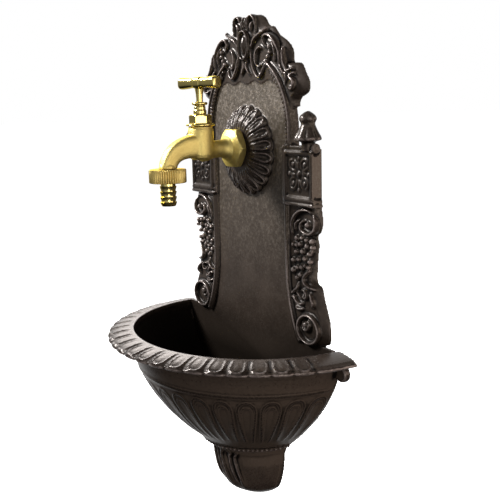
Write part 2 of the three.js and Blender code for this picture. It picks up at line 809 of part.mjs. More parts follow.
function tapBody() {
  const flangeBack = rosetteDepth + clearance;
  const flangeFront = flangeBack + tapFlangeThickness;
  const raise = (geometry, z) => solidOf(geometry.translate(0, 0, z));
  const along = (geometry) => solidOf(geometry.translate(0, -spindleReach, 0));
  const chamber = along(turned([
    [0, chamberBottom], [chamberRadius * 0.7, chamberBottom], [chamberRadius, chamberBottom + 5],
    [chamberRadius, chamberTop - 4], [chamberRadius * 0.92, chamberTop], [0, chamberTop],
  ], 18));
  const outlet = solidOf(cylinderAlong('z', spoutWidth / 2 - 0.2, outletTop, outletTop + 6, 14)
    .translate(0, -outletReach, 0));
  const shank = raise(cylinderAlong('y', tapShankRadius, clearance, flangeBack + 1, 20), tapHeight);
  const hex = raise(hexagon(tapFlangeFlats, flangeBack, flangeFront, 'y'), tapHeight);
  const neck = raise(cylinderAlong('y', tapNeckRadius, flangeBack + 1, spindleReach, 16), tapHeight);
  const bore = raise(cylinderAlong('y', tapBore / 2, -1, spindleReach - 4, 16), tapHeight);
  return join([shank, hex, neck, chamber, spout(), outlet]).subtract(bore);
}

function bonnet() {
  const seat = chamberTop + clearance;
  const discTop = seat + bonnetDiscThickness;
  const hexTop = discTop + bonnetHexHeight;
  const glandTop = hexTop + glandHeight;
  const turnedParts = turned([
    [0, seat], [bonnetDiscRadius, seat], [bonnetDiscRadius, discTop], [glandRadius, discTop + 1],
    [glandRadius, glandTop], [collarRadius, glandTop], [collarRadius, glandTop + collarHeight],
    [0, glandTop + collarHeight],
  ], 18);
  const hex = hexagon(bonnetHexFlats, seat + 1, hexTop, 'z');
  const whole = solidOf(turnedParts).add(solidOf(hex));
  const hole = cylinderAlong('z', spindleRadius + clearance, seat - 1, glandTop + collarHeight + 1, 16);
  return whole.subtract(solidOf(hole)).translate([0, -spindleReach, 0]);
}

function handle() {
  const foot = chamberTop + 2 * clearance;
  const bonnetHeight = bonnetDiscThickness + bonnetHexHeight + glandHeight + collarHeight;
  const collarTop = chamberTop + clearance + bonnetHeight;
  const barHeight = collarTop + spindleHeight;
  const spindle = cylinderAlong('z', spindleRadius, foot, barHeight, 12);
  const half = handleLength / 2;
  const bar = turned([
    [0, -half], [handleRadius * 0.75, -half], [handleRadius, -half + 1.6],
    [handleRadius * 0.86, -half * 0.4], [handleHubRadius, -half * 0.16],
    [handleHubRadius, half * 0.16], [handleRadius * 0.86, half * 0.4],
    [handleRadius, half - 1.6], [handleRadius * 0.75, half], [0, half],
  ], 12);
  bar.rotateY(Math.PI / 2);
  bar.rotateZ((handleAngle * Math.PI) / 180);
  bar.translate(0, 0, barHeight);
  return solidOf(spindle).add(solidOf(bar)).translate([0, -spindleReach, 0]);
}

// Knurled ring: a toothed outline pulled straight up
function unionNut() {
  const top = outletTop - clearance;
  const outline = [];
  for (let i = 0; i < 2 * nutKnurls; i += 1) {
    const angle = (Math.PI * i) / nutKnurls;
    const radius = nutRadius - (i % 2) * knurlDepth;
    outline.push(new THREE.Vector2(radius * Math.cos(angle), radius * Math.sin(angle)));
  }
  const shape = new THREE.Shape(outline);
  const geometry = new THREE.ExtrudeGeometry(shape, { depth: nutHeight, bevelEnabled: false });
  geometry.translate(0, -outletReach, top - nutHeight);
  const hole = cylinderAlong('z', hoseTailRadius + clearance, top - nutHeight - 1, top + 1, 20);
  return solidOf(geometry).subtract(solidOf(hole.translate(0, -outletReach, 0)));
}

function hoseTail() {
  const top = outletTop - clearance;
  const bottom = top - nutHeight - hoseTailLength;
  const inner = hoseBore / 2;
  const profile = [[inner, bottom]];
  const pitch = (hoseTailLength - 2) / hoseBarbs;
  for (let i = 0; i < hoseBarbs; i += 1) {
    const z = bottom + i * pitch;
    profile.push([hoseTailRadius, z], [hoseTailRadius + hoseBarb, z + pitch * 0.8]);
    profile.push([hoseTailRadius, z + pitch * 0.85]);
  }
  profile.push([hoseTailRadius, top], [inner, top], [inner, bottom]);
  return solidOf(turned(profile, 12)).translate([0, -outletReach, 0]);
}

const iron = () => new THREE.MeshStandardMaterial({ color: 0x2b2523, roughness: 0.55, metalness: 0.5 });
const brass = () => new THREE.MeshStandardMaterial({ color: 0xc9a544, roughness: 0.25, metalness: 1 });

const fountain = new THREE.Group();
fountain.add(meshOf('back_plate', backPlate(), iron()));
fountain.add(meshOf('basin', basin(), iron()));

const tap = new THREE.Group();
tap.add(meshOf('tap_body', tapBody(), brass()));
tap.add(meshOf('tap_bonnet', bonnet(), brass()));
tap.add(meshOf('tee_handle', handle(), brass()));
tap.add(meshOf('hose_union_nut', unionNut(), brass()));
tap.add(meshOf('hose_tail', hoseTail(), brass()));
fountain.add(tap);

fountain.position.z = -fixingHeight;

export default fountain;
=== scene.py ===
"""Looks of the cast iron wall fountain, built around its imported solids.

Shapes are drawn in millimetres with heights above the basin's rim, as in the
part's source, and moved into the part's own frame in metres at the end.
"""
import math

import bmesh
import bpy
import numpy as np
from mathutils import Matrix, Vector


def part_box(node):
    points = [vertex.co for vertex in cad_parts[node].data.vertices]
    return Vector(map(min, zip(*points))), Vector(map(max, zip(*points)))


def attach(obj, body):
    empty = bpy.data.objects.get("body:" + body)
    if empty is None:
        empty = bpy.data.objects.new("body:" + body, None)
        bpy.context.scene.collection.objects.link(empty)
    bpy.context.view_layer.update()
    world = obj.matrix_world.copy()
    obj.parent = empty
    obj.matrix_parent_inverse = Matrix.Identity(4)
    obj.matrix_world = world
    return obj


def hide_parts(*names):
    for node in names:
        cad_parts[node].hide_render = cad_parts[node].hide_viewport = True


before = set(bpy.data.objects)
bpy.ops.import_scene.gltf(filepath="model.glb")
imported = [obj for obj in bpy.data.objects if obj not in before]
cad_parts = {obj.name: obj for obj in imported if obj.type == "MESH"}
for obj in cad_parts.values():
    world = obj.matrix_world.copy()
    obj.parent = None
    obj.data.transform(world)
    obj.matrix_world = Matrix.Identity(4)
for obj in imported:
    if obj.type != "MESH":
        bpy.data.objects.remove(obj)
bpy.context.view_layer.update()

TRIANGLES = 185000  # aim for each iron casting
UP = (0, 0, 1)

# Sizes shared with the solids, mm. RIM is in the part's frame, the other heights are above the rim.
RIM = -200.0
FIELD = 6.0  # depths from the wall
FRAME = 11.0
GROUND = 8.0
PIL_IN = 62.0  # consoles and blocks
PIL_W = 40.0
PIL_OUT = PIL_IN + PIL_W
CONSOLE_H = 122.0
BLOCK_TOP = CONSOLE_H + 48.0
ARCH_R = 70.0  # arch and crest
SPRING = 185.5
BORDER = 7.0
CREST_W = 88.0
CREST_H = 101.5
HEM = 226.0
TAP_Z = 168.5  # tap
TAP_Y = -57.4
OUT_Y = -92.2
RIM_W = 123.7  # basin
RIM_R = 117.5
STANDOFF = 1.7
FLANGE = 24.7
DROOP = 5.9
BOWL_H = 112.0
STEM_H = 58.0
STEM_W = 44.0
STEM_R = 47.0


# Curves, rings and closed shells

def spline(points, per=8, closed=False):
    """Points of a smooth curve through the given ones."""
    p = np.asarray(points, float)
    if closed:
        p = np.vstack([p[-1], p, p[0], p[1]])
    else:
        p = np.vstack([2 * p[0] - p[1], p, 2 * p[-1] - p[-2]])
    s = (np.arange(per) / per)[:, None]
    out = []
    for a, b, c, d in zip(p, p[1:], p[2:], p[3:]):
        out.append(0.5 * (2 * b + (c - a) * s + (2 * a - 5 * b + 4 * c - d) * s ** 2
                          + (3 * b - a - 3 * c + d) * s ** 3))
    out = np.vstack(out)
    return out if closed else np.vstack([out, p[-2]])


def unit(v):
    return v / np.maximum(np.linalg.norm(v, axis=-1, keepdims=True), 1e-9)


def mirrored(rows):
    """Points up the left of the middle and down its right, from [aside, along] rows that end on it."""
    return [(-u, v) for u, v in rows] + [(u, v) for u, v in rows[-2::-1]]


def full_turn(count):
    return 2 * np.pi * np.arange(count) / count


def level_ring(x, y, z, radius, count):
    """A ring about an upright axis. The radius is one number, or one for each point."""
    a = full_turn(count)
    return np.column_stack([x + radius * np.cos(a), y + radius * np.sin(a), np.full(count, float(z))])


def wall_ring(x, z, depth, wide, high, count):
    """A ring that faces the wall, at a depth from it."""
    a = full_turn(count)
    return np.column_stack([x + wide * np.cos(a), np.full(count, -float(depth)), z + high * np.sin(a)])


class Casting:
    """Closed shells that are fused into one skin."""

    def __init__(self, *builders):
        self.verts, self.faces, self.count = [], [], 0
        for build in builders:
            build(self)

    def add(self, verts, faces, both=False):
        """Adds a shell, and its mirror image where both is set."""
        verts = np.asarray(verts, float)
        for sign in ((1, -1) if both else (1,)):
            self.verts.append(verts * [sign, 1, 1])
            self.faces += [tuple(i + self.count for i in f)[::sign] for f in faces]
            self.count += len(verts)

    def loft(self, rings, both=False, closed=False):
        """A skin over rings of equally many points, capped at its ends unless it is closed."""
        rings = np.asarray(rings, float)
        r, n = rings.shape[:2]
        faces = []
        for i in range(r if closed else r - 1):
            here, there = i * n, (i + 1) % r * n
            faces += [(here + j, here + (j + 1) % n, there + (j + 1) % n, there + j) for j in range(n)]
        if not closed:
            faces += [tuple(range(n))[::-1], tuple((r - 1) * n + j for j in range(n))]
        self.add(rings.reshape(-1, 3), faces, both)

    def slab(self, outline, back, front, both=False):
        self.loft([[(x, -d, z) for x, z in outline] for d in (back, front)], both)

    def ridge(self, path, up, width, rise, taper=0.5, both=False, sides=6, closed=False):
        """A raised rib: an oval tube along the path, half sunk in the surface."""
        path = np.asarray(path, float)
        up = unit(np.broadcast_to(np.asarray(up, float), path.shape))
        if closed:
            along = unit(np.roll(path, -1, 0) - np.roll(path, 1, 0))
            share = np.ones(len(path))
        else:
            along = unit(np.gradient(path, axis=0))
            t = np.linspace(0, 1, len(path))
            share = taper + (1 - taper) * np.sin(np.pi * t)
            share *= np.sqrt(np.clip(1 - np.abs(2 * t - 1) ** 14, 0.05, 1))
        side = unit(np.cross(along, up))
        a = 2 * np.pi * (np.arange(sides) + 0.5) / sides
        rings = path[:, None] + share[:, None, None] * (
            side[:, None] * (np.cos(a) * width / 2)[None, :, None]
            + up[:, None] * (np.sin(a) * rise)[None, :, None])
        self.loft(rings, both, closed)

    def dome(self, x, z, rx, rz, depth, rise, both=True, sides=12):
        """A round or oval knob on the plate, at a depth from the wall."""
        levels = [(math.cos(a), math.sin(a)) for a in np.radians([-50, -15, 15, 40, 62, 82])]
        self.loft([wall_ring(x, z, depth + rise * s, rx * c, rz * c, sides) for c, s in levels], both)

    def line(self, points, depth, width, rise, per=7, taper=0.5, both=True, closed=False):
        """A rib on the plate through [x, z] points at a depth from the wall."""
        flat = spline(points, per, closed)
        path = np.column_stack([flat[:, 0], np.full(len(flat), -float(depth)), flat[:, 1]])
        self.ridge(path, (0, -1, 0), width, rise, taper, both, 8, closed)

    def carve(self, depth, rows):
        """Ribs on the plate, from rows of [points, width, rise]."""
        for points, width, rise in rows:
            self.line(points, depth, width, rise)

    def mesh(self, name):
        mesh = bpy.data.meshes.new(name)
        verts = (np.vstack(self.verts) + [0, 0, RIM]) / 1000
        mesh.from_pydata(verts.tolist(), [], self.faces)
        return mesh


# From shells to finished meshes

def new_object(name, data):
    obj = bpy.data.objects.new(name, data)
    bpy.context.scene.collection.objects.link(obj)
    return obj


def settle(obj):
    """Applies the modifiers."""
    graph = bpy.context.evaluated_depsgraph_get()
    mesh = bpy.data.meshes.new_from_object(obj.evaluated_get(graph))
    obj.modifiers.clear()
    old, obj.data = obj.data, mesh
    bpy.data.meshes.remove(old)


def vertex_rows(mesh, what):
    """Each vertex's place ("co") or direction ("normal")."""
    values = np.empty(len(mesh.vertices) * 3, np.float32)
    mesh.vertices.foreach_get(what, values)
    return values.reshape(-1, 3).astype(float)


def store(mesh, name, values):
    layer = mesh.attributes.new(name, "FLOAT", "POINT")
    layer.data.foreach_set("value", values.astype(np.float32))


def smooth_faces(mesh):
    mesh.polygons.foreach_set("use_smooth", np.ones(len(mesh.polygons), bool))


def mark_relief(mesh):
    """Stores how far each point stands proud of, or lies below, its surroundings, in mm."""
    rounds, fine_rounds = 7, 2
    co = vertex_rows(mesh, "co")
    normal = vertex_rows(mesh, "normal")
    ends = np.empty(len(mesh.edges) * 2, np.int32)
    mesh.edges.foreach_get("vertices", ends)
    a, b = ends[0::2], ends[1::2]
    count = np.bincount(ends, minlength=len(co)).astype(float)[:, None]

    def average(values):
        total = np.zeros_like(values)
        for i in range(values.shape[1]):
            total[:, i] = np.bincount(a, values[b, i], len(co)) + np.bincount(b, values[a, i], len(co))
        return total / np.maximum(count, 1)

    soft = co.copy()
    proud = []
    for _ in range(rounds):
        soft = 0.35 * soft + 0.65 * average(soft)
        proud.append(np.sum((co - soft) * normal, axis=1))
    relief = average((1.8 * proud[fine_rounds - 1] + proud[-1])[:, None])[:, 0] * 1000
    # broad flat faces have none, whatever their edges do
    longest = np.zeros(len(co))
    length = np.linalg.norm(co[a] - co[b], axis=1) * 1000
    np.maximum.at(longest, a, length)
    np.maximum.at(longest, b, length)
    store(mesh, "relief", relief * np.clip((5 - longest) / 2.5, 0, 1))


def mark_painted_shade(mesh, vessel):
    """Stores painted shade: black on the basin's inside, and on the plate growing darker down towards the
    basin.
    """
    co = vertex_rows(mesh, "co") * 1000 - [0, 0, RIM]
    painted_shade = np.clip((30 - co[:, 2]) / 45, 0, 1)
    if vessel:
        normal = vertex_rows(mesh, "normal")
        inward = -np.sum(unit(co * [1, 1, 0]) * normal, axis=1)
        floor = np.where(np.abs(co[:, 0]) < RIM_W - 8, normal[:, 2], 0)
        painted_shade = np.clip(np.maximum(inward, floor) * 3, 0, 1) * np.clip(-co[:, 2] / 8, 0, 1)
    store(mesh, "painted_shade", painted_shade)


def even_normals(obj):
    """Shades broad flat faces flat and keeps their rounded edges soft."""
    even = obj.modifiers.new("even", "WEIGHTED_NORMAL")
    even.mode = "FACE_AREA"
    even.weight = 70
    settle(obj)


def bore(obj, radius, z, depth):
    """Cuts a round hole through the piece, square to the wall."""
    tool = Casting()
    tool.loft([wall_ring(0, z, d, radius, radius, 64) for d in (-3, depth)])
    cutter = new_object("cutter", tool.mesh("cutter"))
    cut = obj.modifiers.new("cut", "BOOLEAN")
    cut.operation = "DIFFERENCE"
    cut.solver = "MANIFOLD"
    cut.object = cutter
    settle(obj)
    bpy.data.meshes.remove(cutter.data)


def cast(casting, name, voxel, keep_box, smooth=2, hole=None):
    """Fuses the shells into one skin, softens it as a sand casting and thins it."""
    obj = new_object(name, casting.mesh(name))
    fuse = obj.modifiers.new("fuse", "REMESH")
    fuse.mode = "VOXEL"
    fuse.voxel_size = voxel / 1000 * 1
    soften = obj.modifiers.new("soften", "SMOOTH")
    soften.factor = 0.5
    soften.iterations = smooth
    settle(obj)
    count = sum(len(p.vertices) - 2 for p in obj.data.polygons)
    if count > TRIANGLES:
        thin = obj.modifiers.new("thin", "DECIMATE")
        thin.ratio = TRIANGLES / count
        settle(obj)
    if hole:
        bore(obj, *hole)
    co = np.clip(vertex_rows(obj.data, "co"), *np.array(keep_box))
    obj.data.vertices.foreach_set("co", co.astype(np.float32).ravel())
    obj.data.update()
    smooth_faces(obj.data)
    mark_relief(obj.data)
    return obj


def machined(part, name, angle):
    """Keeps the piece's own faces, shaded smooth between edges sharper than the angle."""
    obj = new_object(name, part.mesh(name))
    work = bmesh.new()
    work.from_mesh(obj.data)
    bmesh.ops.recalc_face_normals(work, faces=work.faces)
    work.to_mesh(obj.data)
    work.free()
    smooth_faces(obj.data)
    obj.data.set_sharp_from_angle(angle=math.radians(angle))
    return obj


# Back plate

def crest_point(points):
    """Points given in hundredths of the crest's half width and of its height."""
    return np.asarray(points, float) / 100 * [CREST_W, CREST_H] + [0, SPRING]


def console_point(points):
    """Points given in hundredths of the console's width and of its height."""
    return np.asarray(points, float) / 100 * [PIL_W, CONSOLE_H] + [PIL_IN, 0]


def on_arch(radius, angle):
    return radius * math.cos(angle), SPRING + radius * math.sin(angle)


def oval(x, z, wide, high):
    return [(x + wide * math.cos(a), z + high * math.sin(a)) for a in np.linspace(0, 2 * np.pi, 20)[:-1]]


def flared(plate, back, front, rest, depth, mirror=True):
    """A body whose side bulges from its outline on the wall to its outline in front."""
    back, front = spline(back, 5), spline(front, 5)
    rings = []
    for up, share in ((0, 0), (0.3, 0.22), (0.6, 0.5), (0.85, 0.8), (1, 1)):
        line = np.vstack([back * (1 - share) + front * share, rest])
        if mirror:
            line = np.vstack([line, line[line[:, 0] > 0.01][::-1] * [-1, 1]])
        rings.append(np.column_stack([line[:, 0], np.full(len(line), -up * depth), line[:, 1]]))
    plate.loft(rings, both=not mirror)


def build_field(plate):
    """The plain field under the arch, the plate's foot, and the tongue behind the basin."""
    half = ARCH_R - 1
    t = np.linspace(0, np.pi, 64)
    arch = [(-half, 0.3), (half, 0.3)] + list(zip(half * np.cos(t), SPRING + half * np.sin(t)))
    plate.slab(arch, 0, FIELD)
    foot = [(98, 0.3), (98, 7.3), (76, 7.3), (76, 24.4)]
    plate.slab([(-98, 0.3)] + foot + [(-x, z) for x, z in foot[:0:-1]], 0, FIELD)
    levels = np.array([0, 0.22, 0.41, 0.59, 0.74]) * 92
    right = [(basin_inside(-d)[0] - 0.6, -d) for d in levels[::-1]]
    right.append((right[-1][0], 0.6))
    plate.slab(right + [(-x, z) for x, z in right[::-1]], 2.8, FIELD)


def build_arch(plate):
    """The arch's raised border, which sinks under the crest, with its lines and nicked edge."""
    foot, inner, depth = BLOCK_TOP - 1, ARCH_R - BORDER, FRAME - 2.2
    edge = ARCH_R + 2
    ring = []
    t = np.linspace(0, np.pi, 72)
    for a in t[t < math.radians(66)]:
        sink = 3.5 * np.clip((math.degrees(a) - 44) / 22, 0, 1)
        (x0, z0), (x1, z1), (x2, z2) = (on_arch(r, a) for r in (inner, ARCH_R, edge))
        ring.append([(x0, -2, z0), (x0, -depth + sink, z0), (x1, -depth - 0.6 + sink, z1), (x2, 0, z2)])
    plate.loft(ring, both=True)
    section = ((inner, 2), (inner, depth), (ARCH_R, depth + 0.6), (edge, 0))
    faces = [(3, 2, 1, 0), (4, 5, 6, 7), (0, 1, 5, 4), (1, 2, 6, 5), (2, 3, 7, 6), (3, 0, 4, 7)]
    plate.add([(x, -d, z) for z in (foot, SPRING + 0.5) for x, d in section], faces, both=True)
    # outer bead line, and a finer one inside it
    for inset, sunk, stop, steps, width, rise in (
            (1.6, 1.9, 62, 14, 2.2, 2.1),
            (4.6, 2.2, 56, 12, 1.2, 1.0)):
        r = ARCH_R - inset
        bend = np.radians(np.linspace(0, stop, steps))
        rail = [(r, foot), (r, SPRING - 8)] + [on_arch(r, a) for a in bend]
        plate.line(rail, FRAME - sunk, width, rise, per=3, taper=1)
    # the nicked edge is a row of small beads
    r = inner + 0.9
    for s in np.arange(3, SPRING - foot + math.radians(50) * inner, 3.7):
        if s < SPRING - foot:
            x, z = r, foot + s
        else:
            x, z = on_arch(r, (s - (SPRING - foot)) / inner)
        plate.dome(x, z, 1.5, 1.5, FRAME - 2.6, 2.0, sides=8)


def build_crest(plate):
    back = crest_point([
        [0, 101], [9, 99], [18, 100], [27, 97], [34, 90], [43, 88], [51, 81], [64, 75], [72, 69], [75, 63],
        [76, 56], [83, 56], [89, 54], [94, 47], [99, 41], [100, 35], [97, 30], [86, 26], [83, 19]])
    front = crest_point([
        [0, 98], [6, 99], [14, 99.5], [21, 94], [25, 86], [33, 81], [41, 77], [52, 71], [61, 67], [62, 62],
        [64, 56], [70, 55], [77, 53], [82, 47], [85, 41], [86, 36], [83, 31], [77, 27], [77, 19]])
    inside = ARCH_R - BORDER
    angle = math.asin((HEM - SPRING) / inside) * np.array([0.4, 0.6, 0.8, 1])
    foot = np.column_stack([inside * np.cos(angle), SPRING + inside * np.sin(angle)])
    # the hem hangs in scallops
    wave = [(x, HEM + 3.4 - 3.2 * abs(math.cos(math.pi * x / 23)) ** 1.4) for x in np.linspace(52, 0, 40)]
    flared(plate, back, front, np.vstack([foot, wave]), GROUND - 1.2)
    carve_crest(plate, GROUND - 1.2)


def carve_crest(plate, ground):
    """Scrolls and leaves through points measured on the front, the cabochon and the shell above it."""
    plate.carve(ground, (
        ([(9, 256), (12, 261), (17, 266), (24, 269), (31, 272), (33, 275)], 3.4, 4.2),
        ([(36, 257), (32, 260), (30.5, 264), (33, 267.5), (38.5, 267.5), (44, 264.5), (49.5, 259),
          (53.5, 252.5), (54, 245), (52.5, 238)], 3.6, 4.4),
        ([(41, 262), (46, 257), (48, 250), (46.5, 243)], 1.9, 3.8),
        ([(58, 257), (59, 249), (62, 241), (67, 236), (73, 238)], 2.8, 4.0),
        ([(75, 234), (69, 231), (75, 226), (72, 220), (66, 222)], 3.4, 4.4),
        ([(28, 256), (24, 258), (20, 255), (18, 250), (19, 244), (23, 241), (27, 244)], 2.8, 4.2),
        ([(8, 262), (10, 254), (12, 247), (14, 241), (18, 235), (22, 232), (26, 234), (29, 239), (30, 243)],
         2.6, 4.4),
        ([(4, 250), (1.5, 244), (4.5, 238), (8, 234)], 2.2, 3.6),
        ([(33, 241), (37, 247), (36, 251)], 2.4, 3.6),
        ([(64, 231), (58, 236), (53, 243)], 2.4, 3.2),
        ([(61, 224), (63, 230), (62, 236)], 2.0, 3.0),
    ))
    for x, z in ((40, 257), (40.5, 252.6), (37.5, 249), (34.5, 245.6)):
        plate.dome(x, z, 2.3, 2.2, ground, 4.2)
    # cabochon, proud of the rest
    middle = 261
    edge = oval(0, middle, 8.0, 12.6)
    plate.slab([(x * 0.96, middle + (z - middle) * 0.96) for x, z in edge], 2, ground + 2.2)
    plate.line(edge, ground + 2.4, 1.9, 3.0, per=2, both=False, closed=True)
    plate.dome(0, middle, 4.4, 9.4, ground + 0.4, 5.0, both=False)
    # shell
    plate.carve(ground, (
        ([(4, 272), (4.6, 278), (7.2, 284), (11.5, 286.6), (16.4, 283.6), (18.4, 277), (18.6, 270)],
         2.2, 4.4),
        ([(10, 272), (11.2, 277), (14.4, 281)], 2.4, 3.2),
        ([(0.8, 275), (2.6, 281), (2.4, 286.4)], 2.0, 3.8),
        ([(16.5, 281), (11, 279), (7.4, 274)], 1.8, 3.6),
    ))


def build_blocks(plate):
    """Square blocks on the consoles, each a framed sunk panel with a flower, under a rolled cornice."""
    z0, z1 = CONSOLE_H, BLOCK_TOP
    x0, x1 = PIL_IN - 5, PIL_OUT
    plate.loft([[(x0, -d, z0), (x, -d, z0), (x, -d, z1), (x0, -d, z1)]
                for d, x in ((0, x1 + 0.8), (FRAME - 1.6, x1))], both=True)
    # raised frame about the sunk panel
    corners = [(PIL_IN + 1.6, z0 + 5), (x1 - 1.4, z0 + 5), (x1 - 1.4, z1 - 4), (PIL_IN + 1.6, z1 - 4)]
    for a, b, w in zip(corners, corners[1:] + corners[:1], (3, 3.6, 3, 3.2)):
        a, b = np.array(a), np.array(b)
        d = unit(b - a)
        n = np.array([-d[1], d[0]]) * w / 2
        a, b = a - d * w / 2, b + d * w / 2
        plate.slab([a - n, b - n, b + n, a + n], FRAME - 5, FRAME, both=True)
    # mouldings that turn the corner onto the side
    for z, radius, out in ((z0 + 3.6, 1.0, 0.8), (z0 - 0.2, 1.6, 1.2)):
        front = FRAME - radius * 0.4
        path = [(PIL_IN - 3.5, -front, z), (PIL_IN + 15, -front, z), (x1 - 3, -front, z),
                (x1 + out * 0.3, -front + 0.6, z), (x1 + out, -front + 3.4, z),
                (x1 + out + 0.8, -4, z), (x1 + out + 1, -0.5, z)]
        plate.ridge(spline(path, 5), UP, radius * 2, radius, taper=1, both=True, sides=10)
    # the cornice is a roll that ends in a round boss on the side
    a = full_turn(24)
    for start, stop, radius in (
            (PIL_IN - 4, x1 + 2.6, 2.3),
            (x1 + 0.6, x1 + 3.2, 4.3),
            (x1 + 3, x1 + 4.4, 1.7)):
        y, z = -FRAME + 3.4 + radius * np.cos(a), z1 + 0.4 + radius * np.sin(a)
        plate.loft([np.column_stack([np.full(24, x), y, z]) for x in (start, stop)], both=True)
    carve_flower(plate, np.array([82.5, z0 + 26]), FRAME - 1.6)


def carve_flower(plate, middle, ground):
    """Four broad curled petals between four small ones."""
    plate.dome(*middle, 2.6, 2.6, ground, 1.9)
    for i in range(8):
        a = math.pi / 4 * i
        out = np.array([math.cos(a), math.sin(a)])
        aside = np.array([-out[1], out[0]])
        if i % 2:
            curl = ((5, 1.2), (9.5, 4.4), (14, 4.0), (16.5, 0.8), (14.5, -2.6))
            plate.line([middle + out * u + aside * v for u, v in curl], ground, 1.9, 1.5, per=5)
            edge = ((14, -4.2), (9.5, -4.0), (5.5, -1.2))
            plate.line([middle + out * u + aside * v for u, v in edge], ground, 1.8, 1.3, per=5, taper=0.4)
            plate.dome(*(middle + out * 11.4), 2.2, 2.2, ground, 1.5, sides=8)
        else:
            petal = [middle + out * 4.5, middle + out * 8 + aside * 0.8, middle + out * 11]
            plate.line(petal, ground, 2.6, 1.4)
            plate.dome(*(middle + out * 13.4), 1.7, 1.7, ground, 1.5, sides=8)


def build_consoles(plate):
    back = console_point([
        [98, 101], [104, 93], [105, 87], [98, 81], [88, 78], [92, 72], [89, 65], [86, 56], [86, 45],
        [102, 42], [110, 34], [118, 27], [128, 18], [131, 8], [126, 2], [110, 0.3]])
    front = console_point([
        [90, 101], [92, 93], [90, 87], [80, 81], [68, 78], [72, 72], [68, 65], [66, 56], [74, 48],
        [88, 41], [92, 34], [99, 27], [111, 19], [114, 10], [108, 2], [92, 0.3]])
    inner = console_point([[44, 0.3], [30, 8], [16, 20], [7, 32], [1, 49], [0, 101]])
    ground = GROUND - 1.6
    flared(plate, back, front, spline(inner, 4), ground, mirror=False)
    # stepped moulding along the field
    edge = spline(np.vstack([inner, [PIL_IN, BLOCK_TOP]]), 6)
    lean = unit(np.gradient(edge, axis=0))
    side = np.column_stack([-lean[:, 1], lean[:, 0]])
    for off0, off1, depth in ((-1, 2.2, 10), (2, 5, 8.4)):
        ring = []
        for p, s in zip(edge, side):
            (x0, z0), (x1, z1) = p + s * off0, p + s * off1
            top = (x0 * 0.6 + x1 * 0.4, -depth, z0 * 0.6 + z1 * 0.4)
            ring.append([(x0, -1, z0), (x0, -depth + 0.4, z0), top, (x1, -depth + 1.0, z1), (x1, -1, z1)])
        plate.loft(ring, both=True)
    carve_consoles(plate, ground)
    hang_grapes(plate, ground)


def carve_consoles(plate, ground):
    """The scroll at the top, the vine's leaves and the scroll at the foot."""
    plate.carve(ground, (
        ([(69, 94), (69, 101), (71, 107), (76, 113), (84, 117), (92, 117.5), (98, 115)], 3.6, 4.6),
        ([(98, 115), (102, 109), (101.5, 102), (97, 98), (91, 97.4), (85, 99.4), (82, 103), (84, 107),
          (89, 108.4)], 3.4, 4.6),
        ([(74, 98), (75, 104), (79, 109)], 2.4, 3.6),
        ([(94, 66), (90, 62.5), (87, 58), (88, 54), (93, 51), (101, 49.5)], 4.2, 4.8),
        ([(77, 53), (76, 47.5), (70, 43), (67, 42)], 2.8, 4.2),
        ([(66.5, 38), (72, 39), (76, 36), (81, 34), (84, 36)], 3.2, 4.6),
        ([(80, 45), (84, 47), (89, 45), (89, 41), (85, 40), (83, 43)], 2.2, 3.8),
        ([(93, 46), (97, 42), (99, 37), (96, 33.5)], 3.6, 4.4),
        ([(72, 31), (78, 29), (84, 30)], 2.4, 3.4),
        ([(73, 45), (78, 42), (82, 38)], 2.2, 3.2),
    ))
    plate.line(oval(92, 13, 14.5, 12.4), ground + 0.4, 3.2, 4.4, per=2, closed=True)
    plate.line([(84, 20), (83.5, 14.5), (87, 11.5), (91.5, 13.5), (93, 18), (90, 21.5)], ground, 2.4, 3.8)
    plate.dome(88.5, 16.5, 3.2, 3.6, ground, 4.4)
    plate.dome(92.5, 105, 3.0, 3.0, ground, 4.6)


def hang_grapes(plate, ground):
    for i, (x, z) in enumerate((
            (76, 92), (83.5, 93), (90, 91.5), (97, 91), (76, 86), (80.5, 87), (90.5, 86.5), (98, 86),
            (75, 80), (84, 81), (93.5, 80), (78, 73.5), (87, 75), (94, 73), (88, 69), (82.5, 67), (76, 66),
            (92, 68), (81, 60), (76, 57), (70, 72), (70, 63), (71, 86))):
        size = 2.2 if i % 3 else 2.7
        plate.dome(x, z, size, size, ground + 0.4, 3.3, sides=10)
    # berries that run over onto the console's side
    for z in (91, 82, 73, 64.5, 56.5):
        x = np.interp(z, (55, 68, 88, 96), (90, 90.5, 94, 96))
        path = [(x - 1.4, -6.4, z), (x + 0.6, -4.8, z), (x + 1.8, -2.4, z)]
        plate.ridge(path, UP, 6.4, 3.2, taper=0.8, both=True, sides=8)


def build_finials(plate):
    """Lobed urns with a bud on top, flat against the wall."""
    x, sides = PIL_IN + 31.5, 72
    profile = spline([
        (-2, 6.2), (4.6, 5.8), (6.0, 7.2), (7.0, 11.4), (8.6, 12.2), (10.4, 11.4), (14, 9.2), (18, 7.0),
        (20.4, 5.9), (22, 6.6), (24.4, 7.8), (27, 7.0), (29.4, 4.2), (31.4, 1.0)], 4)
    fold = (1 - np.abs(np.sin(3.5 * full_turn(sides)))) ** 1.6
    rings = []
    for up, radius in profile:
        urn = 0.16 * np.clip(min((up - 6) / 3, (19.5 - up) / 5), 0, 1)
        bud = 0.14 * np.clip(min((up - 20.5) / 2, (30.5 - up) / 3), 0, 1)
        ring = level_ring(x, -7.4, BLOCK_TOP + up, radius * (1 - (urn + bud) * fold), sides)
        ring[:, 1] = np.minimum(ring[:, 1], -0.2)
        rings.append(ring)
    plate.loft(rings, both=True)


